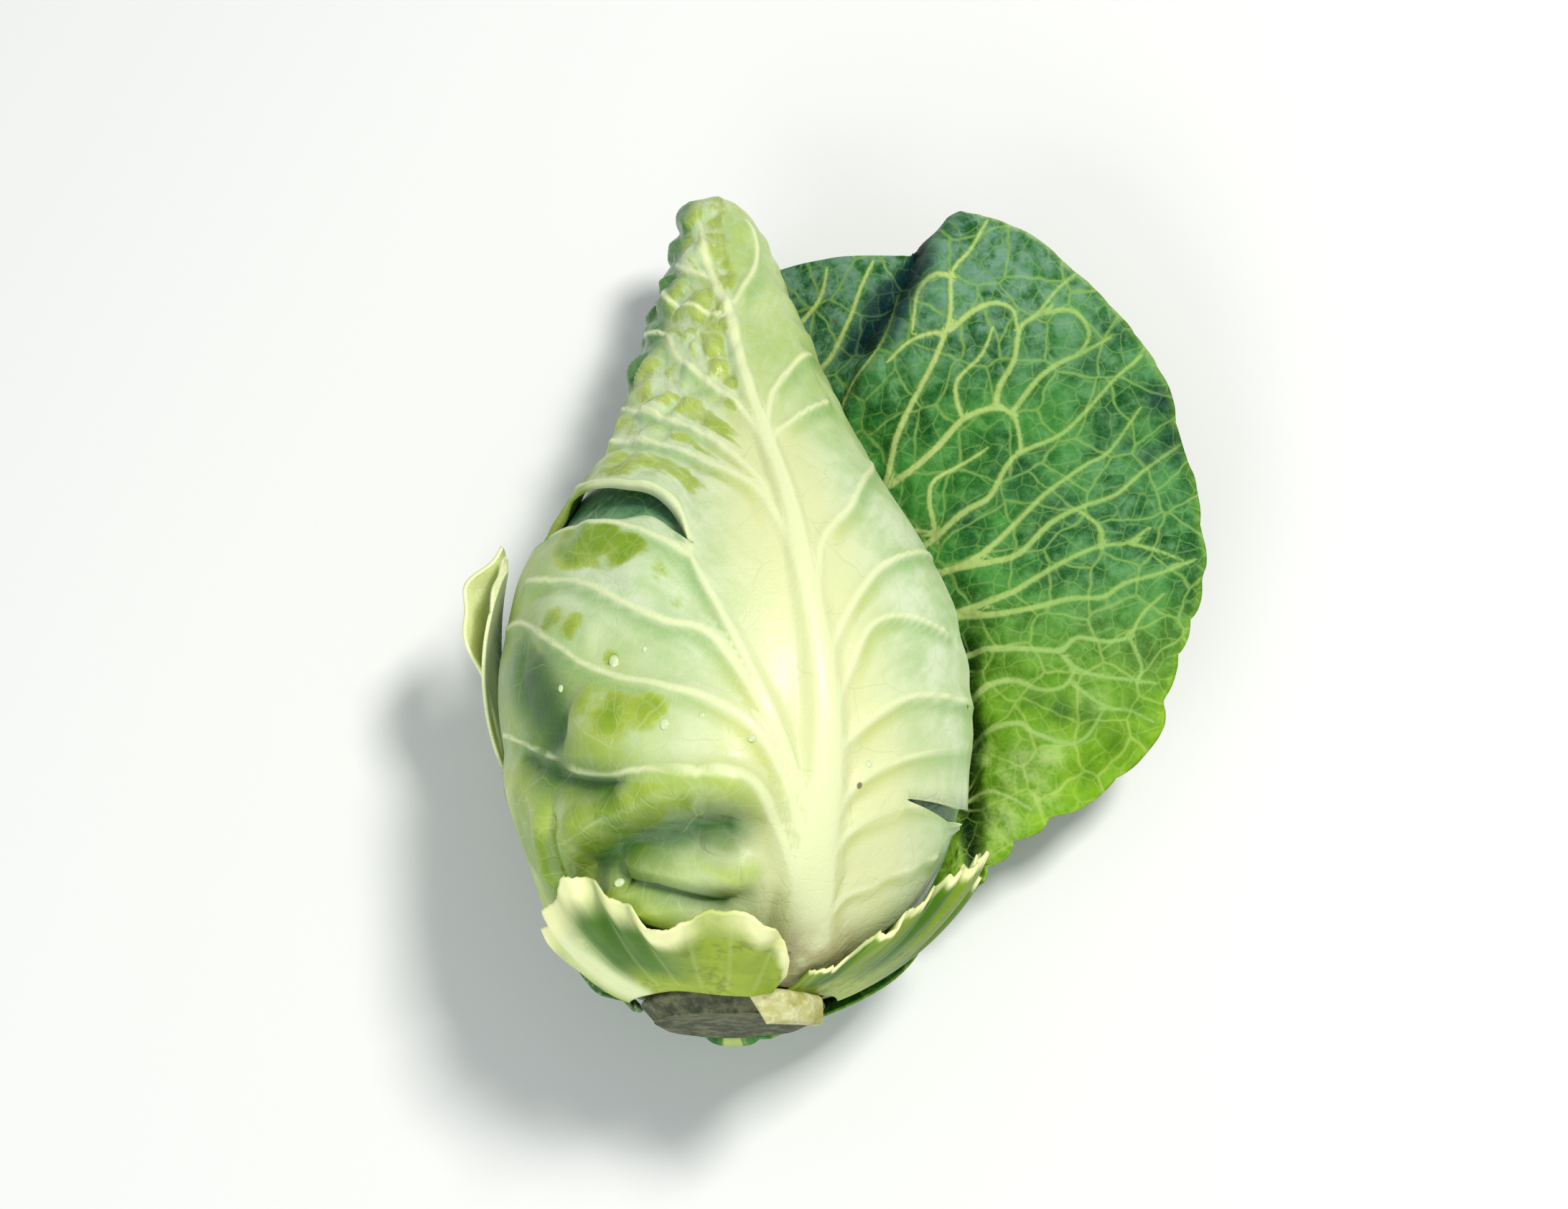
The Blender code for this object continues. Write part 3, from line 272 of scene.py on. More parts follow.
def tone(r, g, b):
    """a colour from its 0 to 255 values"""
    line = [c / 255 / 12.92 if c <= 10 else ((c / 255 + 0.055) / 1.055) ** 2.4 for c in (r, g, b)]
    return (*line, 1.0)


def wandering(n, place, amount, scale):
    """the same place moved a little by soft noise, so that a pattern on it wanders"""
    push = n.vector("SUBTRACT", n.noise(place, scale, 2.0, 0.5, out=1), (0.5, 0.5, 0.5))
    return n.vector("ADD", place, n.vector("SCALE", push, scale=amount))


print("the wrapper's wax is", [round(c, 2) for c in tone(212, 226, 186)], "in linear light")

# %% [markdown]
# The net of small veins on a leaf has the look of cells with soft walls. The mesh has to rise inside
# the same cells that the material outlines, so the pattern is written once, as nodes. A material reads
# it at each pixel, and a probe of loose points reads it here at each vertex.

# %% A probe that measures a node pattern at places


def measured(points, pattern):
    """the value of a pattern of nodes at each of these places"""
    mesh = bpy.data.meshes.new("probe")
    mesh.vertices.add(points.size // 3)
    mesh.vertices.foreach_set("co", points.reshape(-1))
    probe = bpy.data.objects.new("probe", mesh)
    bpy.context.scene.collection.objects.link(probe)
    tree = bpy.data.node_groups.new("probe", "GeometryNodeTree")
    for way in ("INPUT", "OUTPUT"):
        tree.interface.new_socket("Geometry", in_out=way, socket_type="NodeSocketGeometry")
    n = Nodes(tree)
    came = n.add("NodeGroupInput")
    value = pattern(n, n.add("GeometryNodeInputPosition"))
    kept = n.add("GeometryNodeStoreNamedAttribute", {"data_type": "FLOAT", "domain": "POINT"},
                 {"Geometry": came, "Name": "found", "Value": value})
    tree.links.new(kept.socket, tree.nodes.new("NodeGroupOutput").inputs[0])
    probe.modifiers.new("probe", "NODES").node_group = tree
    done = probe.evaluated_get(bpy.context.evaluated_depsgraph_get()).data
    found = np.empty(len(done.vertices), np.float32)
    done.attributes["found"].data.foreach_get("value", found)
    bpy.data.objects.remove(probe, do_unlink=True)
    bpy.data.meshes.remove(mesh)
    bpy.data.node_groups.remove(tree)
    return found.reshape(points.shape[:-1]).astype(float)


def fine_net(n, place, cell, flat=False, wander=0.35):
    """distance to the walls of cells of this size, in millimetres; place is in centimetres"""
    moved = wandering(n, place, cell / 10 * wander, 14 / cell)
    return n.cells(moved, 10 / cell, flat=flat) * cell


tried = measured(np.zeros((1, 3)), lambda n, place: fine_net(n, place, 10.0))
print("one place in a net of 10 mm cells is", tried.round(2), "mm from a wall")

# %% [markdown]
# A leaf is a grid, bent into place point by point, because its form is a formula and not a few pulled
# vertices. The grid is a primitive, its vertices are moved once, and Solidify gives it a body. Numbers
# that the finish needs, such as the distance to the nearest rib, stay on the vertices as attributes.

# %% A grid of places becomes a mesh


def grid_mesh(name, points, mat):
    """a grid with its vertices at points[column, row], and the column and row of each vertex"""
    cols, rows = points.shape[0] - 1, points.shape[1] - 1
    bpy.ops.object.select_all(action="DESELECT")
    bpy.ops.mesh.primitive_grid_add(x_subdivisions=cols, y_subdivisions=rows, size=1)
    ob = bpy.context.object
    ob.name = ob.data.name = name
    ob.data.materials.append(mat)
    co = np.empty(len(ob.data.vertices) * 3)
    ob.data.vertices.foreach_get("co", co)
    co = co.reshape(-1, 3)
    i, j = np.rint((co[:, 0] + 0.5) * cols).astype(int), np.rint((co[:, 1] + 0.5) * rows).astype(int)
    ob.data.vertices.foreach_set("co", (points[i, j] * MM).ravel())
    return ob, i, j


def keep(mesh, key, values):
    """numbers, or places, on the vertices, where materials and modifiers can read them"""
    kind, field = ("FLOAT", "value") if values.ndim == 1 else ("FLOAT_VECTOR", "vector")
    mesh.attributes.new(key, kind, "POINT").data.foreach_set(field, values.astype(np.float32).ravel())


def cleaned(mesh, dist, gone=None, outward=False):
    """merge vertices closer than dist; first take out faces, or last turn all faces outward"""
    sheet = bmesh.new()
    sheet.from_mesh(mesh)
    if gone is not None:
        bmesh.ops.delete(sheet, geom=[f for f in sheet.faces if gone(f)], context="FACES")
    bmesh.ops.remove_doubles(sheet, verts=sheet.verts, dist=dist * MM)
    if outward:
        bmesh.ops.recalc_face_normals(sheet, faces=sheet.faces)
    sheet.to_mesh(mesh)
    sheet.free()


def smoothed(ob):
    """shade it smooth and say how many faces it has"""
    ob.data.polygons.foreach_set("use_smooth", np.ones(len(ob.data.polygons), bool))
    print(ob.name, len(ob.data.polygons), "faces")
    return ob


# %% A leaf is a grid with a body


def leaf(name, points, thick, skin, marks, mat, outward=1, open_cells=None):
    """points[column, row]; thick is its thickness there; skin is the place that patterns read"""
    shape = points.shape[:2]
    ob, i, j = grid_mesh(name, points, mat)
    most = float(np.max(thick))
    for key, values in dict(marks, body=thick / most).items():
        keep(ob.data, key, np.broadcast_to(values, shape)[i, j])
    keep(ob.data, "skin", skin[i, j] / 10)
    if open_cells is not None:
        cleaned(ob.data, 0.01, gone=lambda f: open_cells(min(i[v.index] for v in f.verts),
                                                         min(j[v.index] for v in f.verts)))
    body = np.empty(len(ob.data.vertices), np.float32)
    ob.data.attributes["body"].data.foreach_get("value", body)
    group = ob.vertex_groups.new(name="body")
    for v, share in enumerate(body):
        group.add([v], float(share), "REPLACE")
    solid = ob.modifiers.new("body", "SOLIDIFY")
    solid.thickness = most * MM
    solid.offset = outward
    solid.vertex_group = "body"
    bpy.ops.object.modifier_apply(modifier="body")
    ob.vertex_groups.clear()
    ob.data.attributes.remove(ob.data.attributes["body"])
    return smoothed(ob)


# %% Ribs on a leaf, its finish and its place in the frame
SIDE_SLACK = 0.5                   # how far a rib's signed distance may fall short of the true one


def dressed(piece, node):
    """the piece rides on the head and stands for its solid, which is hidden"""
    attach(piece, "root")
    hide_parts(node)
    return piece


def veined(pts, flat, place, midrib, ribs, scale=1.5, painted=0.36, taper=0.55, mid_paint=0.6,
           least=0.0):
    """over a leaf: the ribs' height, and for the finish how far the nearest one's middle is"""
    shape = pts.shape[:-1]
    high, lead = np.zeros(shape), np.full(shape, FAR)
    side, far, half = np.full(shape, FAR), np.full(shape, FAR), np.full(shape, 0.1)
    lines = [([p[:2] for p in midrib], [p[2] for p in midrib], [p[3] for p in midrib], mid_paint)]
    lines += [(points, (w0, w1), (scale * h0, scale * h1), painted) for points, w0, h0, w1, h1 in ribs]
    for points, wide, tall, share in lines:
        line = along(points, 8)
        d, where, turn = to_line(pts, place(line[:, 0], line[:, 1]), flat, line)
        at = np.linspace(0, 1, len(wide))
        w = np.interp(where, at, wide)
        if share == mid_paint:
            share = mid_paint * (1 - 0.65 * where ** 1.1)
            form = np.clip(1 - np.minimum(d / w, 1) ** 2.6, 0, 1) ** 1.15
        else:
            form = 0.66 * bump(d, 0.72 * w) + 0.34 * np.exp(-(d / (1.25 * w)) ** 2)
            w = w * (1 - taper * where ** 1.5)
        high = np.maximum(high, np.interp(where, at, tall) * form)
        w = np.maximum(share * w, least)
        closer = d - w < lead
        lead = np.where(closer, d - w, lead)
        side, far, half = (np.where(closer, new, old)
                           for new, old in ((d * turn, side), (d, far), (w, half)))
    return high, {"rib_side": side, "rib_far": far, "rib_half": half}


def mark(n, name):
    """a number kept on the vertices"""
    return n.add("ShaderNodeAttribute", {"attribute_name": name}, out=2)


def painted_rib(n):
    """distance beyond the edge of the nearest rib's pale paint, in millimetres"""
    side, far, half = (mark(n, key) for key in ("rib_side", "rib_far", "rib_half"))
    return abs(side).most(far - SIDE_SLACK) - half


def finish(name, look, coat=0.25, coat_rough=0.22, glow=0.12, shine=0.4):
    """a material; look(n, skin) gives its colour, roughness and height in millimetres"""
    mat = bpy.data.materials.new(name)
    mat.use_nodes = True
    n = Nodes(mat.node_tree)
    shader = mat.node_tree.nodes["Principled BSDF"].inputs
    skin = n.add("ShaderNodeAttribute", {"attribute_name": "skin"}, out=1)
    colour, rough, height = look(n, skin)
    relief = n.add("ShaderNodeBump", None, {"Strength": 1.0, "Distance": MM, "Height": height})
    for value, key in ((colour, "Base Color"), (rough, "Roughness"), (relief, "Normal")):
        mat.node_tree.links.new(value.socket, shader[key])
    shader["Specular IOR Level"].default_value = shine
    shader["Coat Weight"].default_value = coat
    shader["Coat Roughness"].default_value = coat_rough
    shader["Subsurface Weight"].default_value = glow
    shader["Subsurface Radius"].default_value = (0.0016, 0.0022, 0.0008)
    shader["Subsurface Scale"].default_value = 1.0
    print("finish", name, "has", len(mat.node_tree.nodes), "nodes")
    return mat


# %% [markdown]
# The pale wrapper is the leaf that gives the head its face. Its back is outward, so its midrib and side
# ribs stand up from it, white and thick at the stem and fine at the tip. Left of the midrib it is torn
# open above the middle, and near the stem its blade is pushed into folds.

# %% The wrapper's ribs, folds and tears
FRONT_MIDRIB = [(44, -69.5, 11, 2.4), (28, -62, 10, 3.0), (22, -48, 8.5, 3.4), (21, -31, 7, 3.6),
                (20, -14, 6, 3.4), (18, 5, 5.2, 3.2), (16, 24, 4.6, 3.0), (15, 51, 4.0, 2.6),
                (13, 68, 3.6, 2.3), (8, 91, 3.2, 2.0), (0, 118, 2.8, 1.6), (-18, 139, 2.6, 1.2),
                (-26, 150, 2.4, 0.9)]
FRONT_RIBS = [
    ([(17, -35), (8, -16), (-2, 8), (-11, 28)], 4.4, 1.9, 3.8, 1.7),
    ([(-11, 30), (-14, 40), (-20, 48), (-32, 52), (-55, 58)], 3.8, 1.9, 3.2, 1.3),
    ([(-11, 28), (-18, 33), (-26, 37), (-40, 42), (-60, 45)], 3.4, 1.3, 3.0, 0.7),
    ([(14, -32), (10, -23), (-5, 5), (-17, 11), (-28, 18), (-37, 24), (-49, 29), (-66, 33)],
     4.2, 1.7, 3.2, 1.0),
    ([(16, -40), (5, -20), (-6, -11), (-17, -7), (-28, -3), (-38, 3), (-46, 10), (-62, 20), (-80, 24)],
     4.2, 1.7, 3.2, 1.1),
    ([(17, -50), (8, -36), (0, -29), (-12, -28), (-32, -25), (-46, -20), (-60, -13), (-76, -6)],
     4.4, 1.9, 3.4, 1.3),
    ([(15, 20), (12, 39), (6, 51), (-6, 59), (-15, 64), (-33, 70), (-52, 74)], 3.6, 1.4, 2.8, 0.7),
    ([(15, 30), (10, 44), (8, 53), (-2, 65), (-14, 73), (-36, 81), (-62, 89)], 3.6, 1.4, 2.8, 0.7),
    ([(13, 60), (10, 71), (1, 83), (-14, 93), (-30, 102), (-43, 111), (-70, 115)], 3.4, 1.4, 2.6, 0.8),
    ([(2, 112), (-22, 118), (-40, 121), (-60, 129)], 2.8, 1.0, 2.4, 0.6),
    ([(-8, 129), (-30, 133), (-55, 138)], 2.6, 0.9, 2.2, 0.5),
    ([(0, 116), (6, 119), (26, 131), (40, 142), (33, 151)], 2.8, 1.0, 2.2, 0.6),
    ([(13, 66), (16, 78), (22, 88), (42, 101), (58, 106)], 3.0, 1.1, 2.4, 0.6),
    ([(15, 44), (15, 67), (25, 76), (38, 83), (54, 89)], 3.0, 1.0, 2.4, 0.6),
    ([(18, 2), (18, 14), (22, 34), (34, 47), (48, 60), (70, 72)], 3.8, 1.5, 2.8, 0.8),
    ([(20, -18), (20, -6), (23, 9), (36, 28), (56, 39), (74, 44)], 4.0, 1.6, 2.8, 0.9),
    ([(21, -20), (22, -12), (26, 0), (32, 12), (43, 17), (60, 17)], 3.4, 1.2, 2.6, 0.8),
    ([(20, -38), (21, -28), (26, -18), (42, -5), (66, 0), (76, 2)], 4.0, 1.7, 3.0, 1.1),
    ([(21, -42), (26, -33), (31, -27), (43, -20), (70, -12)], 4.0, 1.7, 3.0, 1.1),
    ([(22, -48), (30, -39), (36, -35), (46, -31), (60, -29), (74, -31)], 4.0, 1.8, 3.2, 1.5),
    ([(26, -60), (36, -53), (45, -49), (54, -45), (66, -40)], 4.0, 1.5, 2.8, 0.8),
]
FRONT_FOLDS = [
    # the first ridge left of the midrib, the valley below it, then narrower ones in turn
    ([(8, -35), (-4, -31), (-14, -31), (-26, -33), (-38, -36), (-50, -40)], 4.2, 4.6),
    ([(8, -41.5), (-4, -39.5), (-14, -40.5), (-26, -42), (-37, -44.5), (-46, -47)], 4.8, -6.4),
    ([(6, -48), (-4, -48), (-14, -47.5), (-28, -47)], 6.5, -2.6),
    ([(7, -50.5), (-2, -45), (-10, -40.5)], 1.1, 3.6),
    ([(6, -52), (-4, -49.5), (-14, -48.5), (-24, -47.5), (-32, -47)], 2.0, 4.6),
    ([(3, -55), (-6, -55.5), (-16, -54), (-26, -51), (-34, -48)], 2.0, -4.4),
    ([(2, -63), (-10, -60.5), (-20, -57.5), (-30, -54), (-38, -49)], 2.6, 3.2),
    ([(-16, -66), (-26, -62), (-36, -56)], 2.6, -3.6),
    # the pocket and the hollow at the left flank
    ([(-24, -30), (-34, -28.5), (-46, -24), (-58, -18), (-66, -13)], 3.4, -5.0),
    ([(-60, 12), (-55, 0), (-49, -10), (-43, -16)], 6.0, -4.4),
    # bulges of the blade
    ([(-46, 42), (-34, 37), (-26, 31), (-18, 21)], 6.0, 3.0),
    ([(-62, 27), (-48, 27), (-36, 22), (-26, 14)], 2.4, -2.6),
    ([(-56, 14), (-44, 12), (-34, 8)], 4.5, 1.8),
    ([(-42, -8), (-30, -13), (-16, -13)], 6.0, 2.4),
    ([(-56, -31), (-60, -38), (-62, -46)], 4.0, 2.2),
    ([(-50, -30), (-54, -39), (-56, -50)], 2.4, -2.4),
    ([(-92, 32), (-84, 20), (-80, 4), (-78, -8)], 5.0, 0.8),
]
TEAR_TIP, NOTCH_TIP = -11.0, 44.0  # angles at which the tear and the small slit at the right end
TEAR_ROW, NOTCH_ROW = 0.351, 0.175
MIDRIB_ANGLE = ([0, 0.05, 0.12, 0.3, 0.55, 0.72, 0.85, 0.94, 1], [40, 26, 21, 18, 15, 9, 0, -20, -10])
print("the wrapper has", len(FRONT_RIBS), "side ribs and", len(FRONT_FOLDS), "folds")

# %% The wrapper's rows, margins and folds


def front_run(phi, v):
    """length along the head of a row at an angle; rows climb from the midrib along the side ribs"""
    climb = smooth(np.abs(phi - smooth(v, *MIDRIB_ANGLE)), [0, 10, 25, 45, 70, 115], [0, 8, 21, 33, 41, 46])
    share = smooth(v, [0, 0.12, 0.25, 0.5, 0.7, 0.85, 0.95, 1], [0.02, 0.36, 0.9, 1, 0.75, 0.4, 0.1, 0])
    margin = run_at(smooth(phi, [-112, -90, -60, -30, 0, 45, 60], [-38, -46, -57, -65, -69, -70.5, -69]))
    blend = step(v, 0, 0.2)
    bend = smooth(phi, [-112, -95, -75, -55, -32, -18, -11, 20], [-22, -15, -4, 3, 6, 6, 0, 0])
    return np.minimum(margin * (1 - blend) + (5 + (FULL_RUN - 5) * v + climb * share) * blend
                      + bend * np.exp(-((v - TEAR_ROW) / 0.07) ** 2), FULL_RUN)


def front_margins(v, upper):
    """the left and right margin angles of each row"""
    left = smooth(v, [0, 0.1, 0.3, 0.5], [-98, -104, -105, -105])
    above = smooth(v - TEAR_ROW, [0, 0.02, 0.035, 0.05, 0.08, 0.12, 0.2, 0.27, 0.45, 0.66],
                   [-97, -91, -76, -62, -55, -58, -70, -92, -106, -112])
    end = np.interp(front_run(60.0, v), FINE, FINE_Y)
    right = smooth(end, [-76, -64, -58, -48, -40, -31, 0, 24, 36, 60, 90, 163],
                   [58, 63, 69, 73, 74, 76, 78, 78, 85, 96, 105, 112])
    right = right + 1.7 * np.cos((end - 7) * 2 * math.pi / 16.5) * step(end, -46, -34) * step(end, 40, 26)
    return np.where(upper, above, left), right


def fold_share(pts, points, wide):
    """1 along the middle of a fold, less across its width and toward both ends"""
    line = along(points)
    d, where, _side = to_line(pts, place_on_head(line[:, 0], line[:, 1]))
    ends = np.minimum(1, 5 * where + 0.25) * np.minimum(1, 5 * (1 - where) + 0.25)
    return ends * np.exp(-(d / wide) ** 2)


def front_off(phi, run, lip_up, lip_low):
    """how far the blade stands off its place on the head: folds near the stem and the tear's lips"""
    pts = on_head(phi, run, FRONT_OFF)
    y = pts[..., 1]
    off = 3.8 * step(phi, 14, -4) * step(y, -64, -52) * step(y, 0, -22)
    off = np.maximum(off, 1.4 * step(phi, -36, -56) * step(phi, -112, -96) * step(y, -56, -40)
                     * step(y, 52, 36))
    for points, wide, high in FRONT_FOLDS:
        off = off + high * fold_share(pts, points, wide)
    # small uneven swellings toward the tip
    rng = np.random.default_rng(5)
    for _ in range(46):
        at = np.array([rng.uniform(-100, 80), rng.uniform(92, 158)])
        wide = rng.uniform(3.2, 6)
        d = np.linalg.norm(pts - place_on_head(at[0], at[1]), axis=-1)
        off = off + rng.uniform(0.5, 1.1) * np.exp(-(d / wide) ** 2) * step(at[1], 90, 112)
    off = np.maximum(off, 0) * step(phi, 104, 80) * step(phi, -97, -80)
    # the strip above the tear lies close
    off = off - 1.7 * step(phi, -58, -70) * step(y, 44, 56) * step(y, 92, 76)
    return off + lip_up * smooth(phi, [-97, -75, -50, -20], [0.1, 0.9, 3.2, 4.6]) + lip_low


# %% The wrapper's patches
# where the wax is rubbed off and the leaf shows green: angle, place along, reach, strength
BARE = [(-50, 39, 6, 0.8), (-42, 37, 6, 1.1), (-34, 36, 6, 1.1), (-26, 31, 6, 1.0), (-19, 24, 5, 0.8),
        (-14, 17, 4, 0.5), (-62, 15, 8, 0.9), (-50, 16, 5, 0.8), (-42, 13, 4, 0.6), (-30, 3, 4, 0.6),
        (-38, -9, 6, 0.75), (-29, -13, 6, 0.8), (-19, -12, 5, 0.7), (-50, -38, 6, 1.2), (-40, -36, 6, 1.2),
        (-30, -34, 5, 1.2), (-21, -33, 4, 0.9), (-12, -32, 4, 0.5), (-40, -51, 6, 0.9), (-28, -56, 4, 0.7),
        (-26, -45, 4, 0.6), (-56, -46, 9, 1.3), (-70, -36, 12, 1.2), (-66, -24, 6, 0.7)]
# teal green, partly bluish wax and partly painted shade: the hollow at the left flank and the fold pockets
TEAL_WAX_AND_SHADE = [(-66, 10, 9, 0.8), (-60, 2, 8, 1.0), (-53, -6, 7, 1.0), (-47, -15, 6, 0.9), (-51, -22, 6, 0.7),
        (-36, -26, 5, 0.5), (-88, 6, 16, 0.8), (-92, 28, 14, 0.7), (-58, 118, 10, 0.5)]


def folded(pts, least, most, reach):
    """how near a place is to the middle of a fold whose height is between these two"""
    total = np.zeros(pts.shape[:-1])
    for points, wide, high in FRONT_FOLDS:
        if least < high < most:
            total = np.maximum(total, fold_share(pts, points, reach * wide))
    return total


def blots(pts, table):
    """how strongly the patches of a table cover a place, 1 at most"""
    total = np.zeros(pts.shape[:-1])
    for phi, y, reach, strength in table:
        d = np.linalg.norm(pts - place_on_head(phi, y), axis=-1)
        total = 1 - (1 - total) * (1 - strength * np.exp(-(d / reach) ** 2))
    return total


print(len(BARE), "patches without wax,", len(TEAL_WAX_AND_SHADE), "blue-green ones")

# %% The wrapper's finish
BLISTER, SMALL_BLISTER = 11.0, 4.6 # widths of the blisters near the tip
# brown specks: angle, place along, size
SPECKS = [(30, -29, 1.2), (68, -1, 0.8), (14, -64, 0.9), (24, -65, 1.1), (17, -62, 0.7), (-33, -57, 0.8)]


def wrapper_look(n, skin):
    beyond = painted_rib(n)
    rib = n.soft(beyond, 0.8, -0.5)
    near = n.soft(beyond, 3.4, 0.2)
    bare, blue, cream, deep, gold, tip = (
        mark(n, key) for key in ("bare", "blue", "cream", "deep", "gold", "tip"))
    cloud = n.noise(skin, 0.55, 3.0, 0.55)
    # streaks run along the side ribs
    drawn = n.add("ShaderNodeCombineXYZ", None, {0: mark(n, "rib_along") * 0.55, 1: mark(n, "rib_across")})
    drawn = wandering(n, drawn, 0.5, 0.6)
    edge = n.noise(drawn, 0.9, 6.0, 0.54)
    streak = n.noise(drawn, 3.0, 5.0, 0.62)
    rough_edge = (edge - 0.5) * 2.6 * n.soft(bare, 0.02, 0.4)
    cell = fine_net(n, skin, BLISTER)
    worn = n.soft(bare * 0.85 + rough_edge - near * 0.22 - n.soft(cell, 2.8, 0.4) * tip * 0.3, 0.25, 0.54)
    full = n.soft(bare + rough_edge * 0.5, 0.42, 0.95)
    net = n.soft(fine_net(n, skin, 15.0), 0.3, 0.05) * n.soft(cloud, 0.42, 0.56)
    small = n.soft(fine_net(n, skin, 4.2), 0.34, 0.04)
    walls = n.soft(cell, 1.2, 0.1)
    shade = n.soft(cloud * 0.6 + streak * 0.4, 0.36, 0.62)
    wax = n.mix(cream, n.mix(shade, (178, 204, 142), (212, 226, 186)), (220, 225, 168))
    lush = mark(n, "lush") * n.soft(streak, 0.2, 0.6)
    wax = n.mix(lush, wax, n.mix(cloud, (136, 170, 42), (188, 206, 100)))
    green = n.mix(full, n.mix(streak, (140, 166, 44), (190, 206, 90)),
                  n.mix(streak, (84, 130, 6), (152, 182, 40)))
    green = n.mix(tip * 0.6, green, n.mix(streak, (158, 178, 62), (222, 231, 146)))
    wax = n.mix(mark(n, "rib_shade") * 0.7, wax, n.mix(cream, (142, 182, 104), (196, 206, 112)))
    colour = n.mix(worn, wax, green)
    # the fold ridges in a lighter yellow green: partly their own green, partly painted light
    colour = n.mix(gold * 0.85, colour, n.mix(streak, (132, 172, 14), (212, 226, 104)))
    # painted shade, partly bluish wax: the hollow at the left flank, the fold pockets and the left side
    # near the tip
    colour = n.mix(blue, colour, n.mix(streak, (28, 92, 40), (112, 158, 88)))
    # painted shade in the valleys of the folds
    colour = n.mix(deep, colour, n.mix(streak, (10, 64, 12), (66, 114, 36)))
    colour = n.mix(net * 0.2 * (1.0 - worn), colour, (160, 182, 84))
    veins = (net * 0.25).most(small * 0.12).most(walls * tip * tip * 0.3)
    colour = n.mix(veins * (1.0 - blue * 0.6) * (1.0 - deep * 0.85), colour, (212, 222, 172))
    colour = n.mix(rib * (0.9 - deep * 0.55), colour, (229, 236, 182))
    for phi, y, reach in SPECKS:
        place = tuple(c / 10 for c in place_on_head(phi, y).ravel()[:3])
        far = n.add("ShaderNodeVectorMath", {"operation": "DISTANCE"}, {0: skin, 1: place}, out=1)
        spot = n.soft(far + (streak - 0.5) * 0.08, 0.09 * reach, 0.05 * reach)
        colour = n.mix(spot * 0.8, colour, (96, 62, 26))
    # the foot of the midrib is bruised brown
    colour = n.mix(mark(n, "foot") * n.soft(streak, 0.25, 0.6), colour, (176, 162, 104))
    rough = 0.42 - worn * 0.1
    height = (n.noise(skin, 5.0, 4.0, 0.6) * 0.16 - net * 0.03 - small * (worn * 0.04 + 0.03)
              + n.noise(skin, 40.0, 2.0, 0.5) * 0.01)
    return colour, rough, height


WRAPPER = finish("wrapper", wrapper_look, coat=0.18, coat_rough=0.26, glow=0.06, shine=0.32)


# %% The wrapper's two slits and its marks


def opened(phi, run, upper, above):
    """the rows beside both slits move apart; also how far each lip of them stands off the head"""
    fade = np.exp(-np.abs(run - front_run(phi, TEAR_ROW)) / 17)
    side = np.clip((TEAR_TIP - phi) / 5, 0, 1)
    up = smooth(phi, [-112, -97, -82, -68, -55, -32, -20, -14, -11], [0, 0, 2, 5, 5, 4, 4, 3, 0]) * fade
    low = smooth(phi, [-112, -97, -74, -52, -33, -24, -16, -11], [-4, -4, -5, -8, -8, -4, -2, 0]) * fade
    lip_up = np.where(upper, side * fade * smooth(phi, [-112, -60, -25, -11], [1, 1, 0.7, 0]), 0)
    lip_low = np.where(~upper, side * fade, 0)
    run = run + np.where(upper, up, low) * (phi < TEAR_TIP)
    fade = np.exp(-np.abs(run - front_run(phi, NOTCH_ROW)) / 8)
    out = np.clip((phi - NOTCH_TIP) / 22, 0, 1)
    run = run + np.where(above, -6.0, -9.5) * fade * out ** 0.8 * (phi > NOTCH_TIP)
    return np.clip(run, 0, FULL_RUN), lip_up, lip_low, np.where(above, 1.4, 0.0) * fade * out


def wrapper_marks(marks, flat, phi, v, tip):
    """what the finish reads: patches, painted shade and light on the folds, shade beside ribs, directions
    along them
    """
    y, mid = flat[..., 1], smooth(v, *MIDRIB_ANGLE)
    upper_left = step(y, 40, 56) * step(phi, 14, -2) * (0.56 + 0.36 * step(y, 92, 112))
    upper_right = step(y, 100, 140) * step(phi, 0, 16) * 0.3
    marks["bare"] = np.clip(np.maximum(blots(flat, BARE), upper_left + upper_right), 0, 1.25)
    # a strip of painted shade, partly bluish wax, down the left side toward the tip
    turned = step(y, 90, 110)
    strip = step(phi, -50 + 18 * turned, -74 + 20 * turned) * step(y, 50, 80)
    marks["blue"] = np.clip(np.maximum(blots(flat, TEAL_WAX_AND_SHADE), strip), 0, 1)
    # painted shade along the valleys of the folds
    marks["deep"], marks["tip"] = folded(flat, -9, -3, 1.5), tip
    # along the fold ridges: partly their own lighter green, partly painted light
    marks["gold"] = folded(flat, 3.1, 4.65, 0.9) * (1 - marks["deep"])
    marks["lush"] = np.clip(step(phi, -6, -34) * step(y, 22, -14) + step(phi, -40, -66)
                            + 0.65 * step(y, 44, 104) * step(phi, -2, 12), 0, 1)
    marks["foot"] = step(y, -54, -66) * 0.8
    # the lower side of each rib lies in soft shade
    below = marks["rib_side"] * np.where(phi < mid, 1, -1) - marks["rib_half"]
    marks["rib_shade"] = step(below, 0.0, 1.4) * step(below, 5.5, 1.8) * step(y, 150, 120)
    marks["rib_shade"] *= step(y, -66, -50) * step(np.abs(phi - mid), 7, 13)
    marks["rib_along"], marks["rib_across"] = np.abs(phi - mid) * 0.08, v * 23.0
    aside = np.abs(phi - smooth(y, [-70, -31, 24, 91, 150], [40, 21, 16, 8, -20]))
    marks["cream"] = np.clip(step(aside, 30, 6) * step(y, 110, 60) + 0.6 * step(y, 10, -30)
                             * step(aside, 50, 20), 0, 1)
    # the flank's stretched cells need more slack, or its painted ribs would be dashed
    marks["rib_far"] = marks["rib_far"] - 0.5 * step(phi, -48, -64)
    return marks


# %% The wrapper's mesh


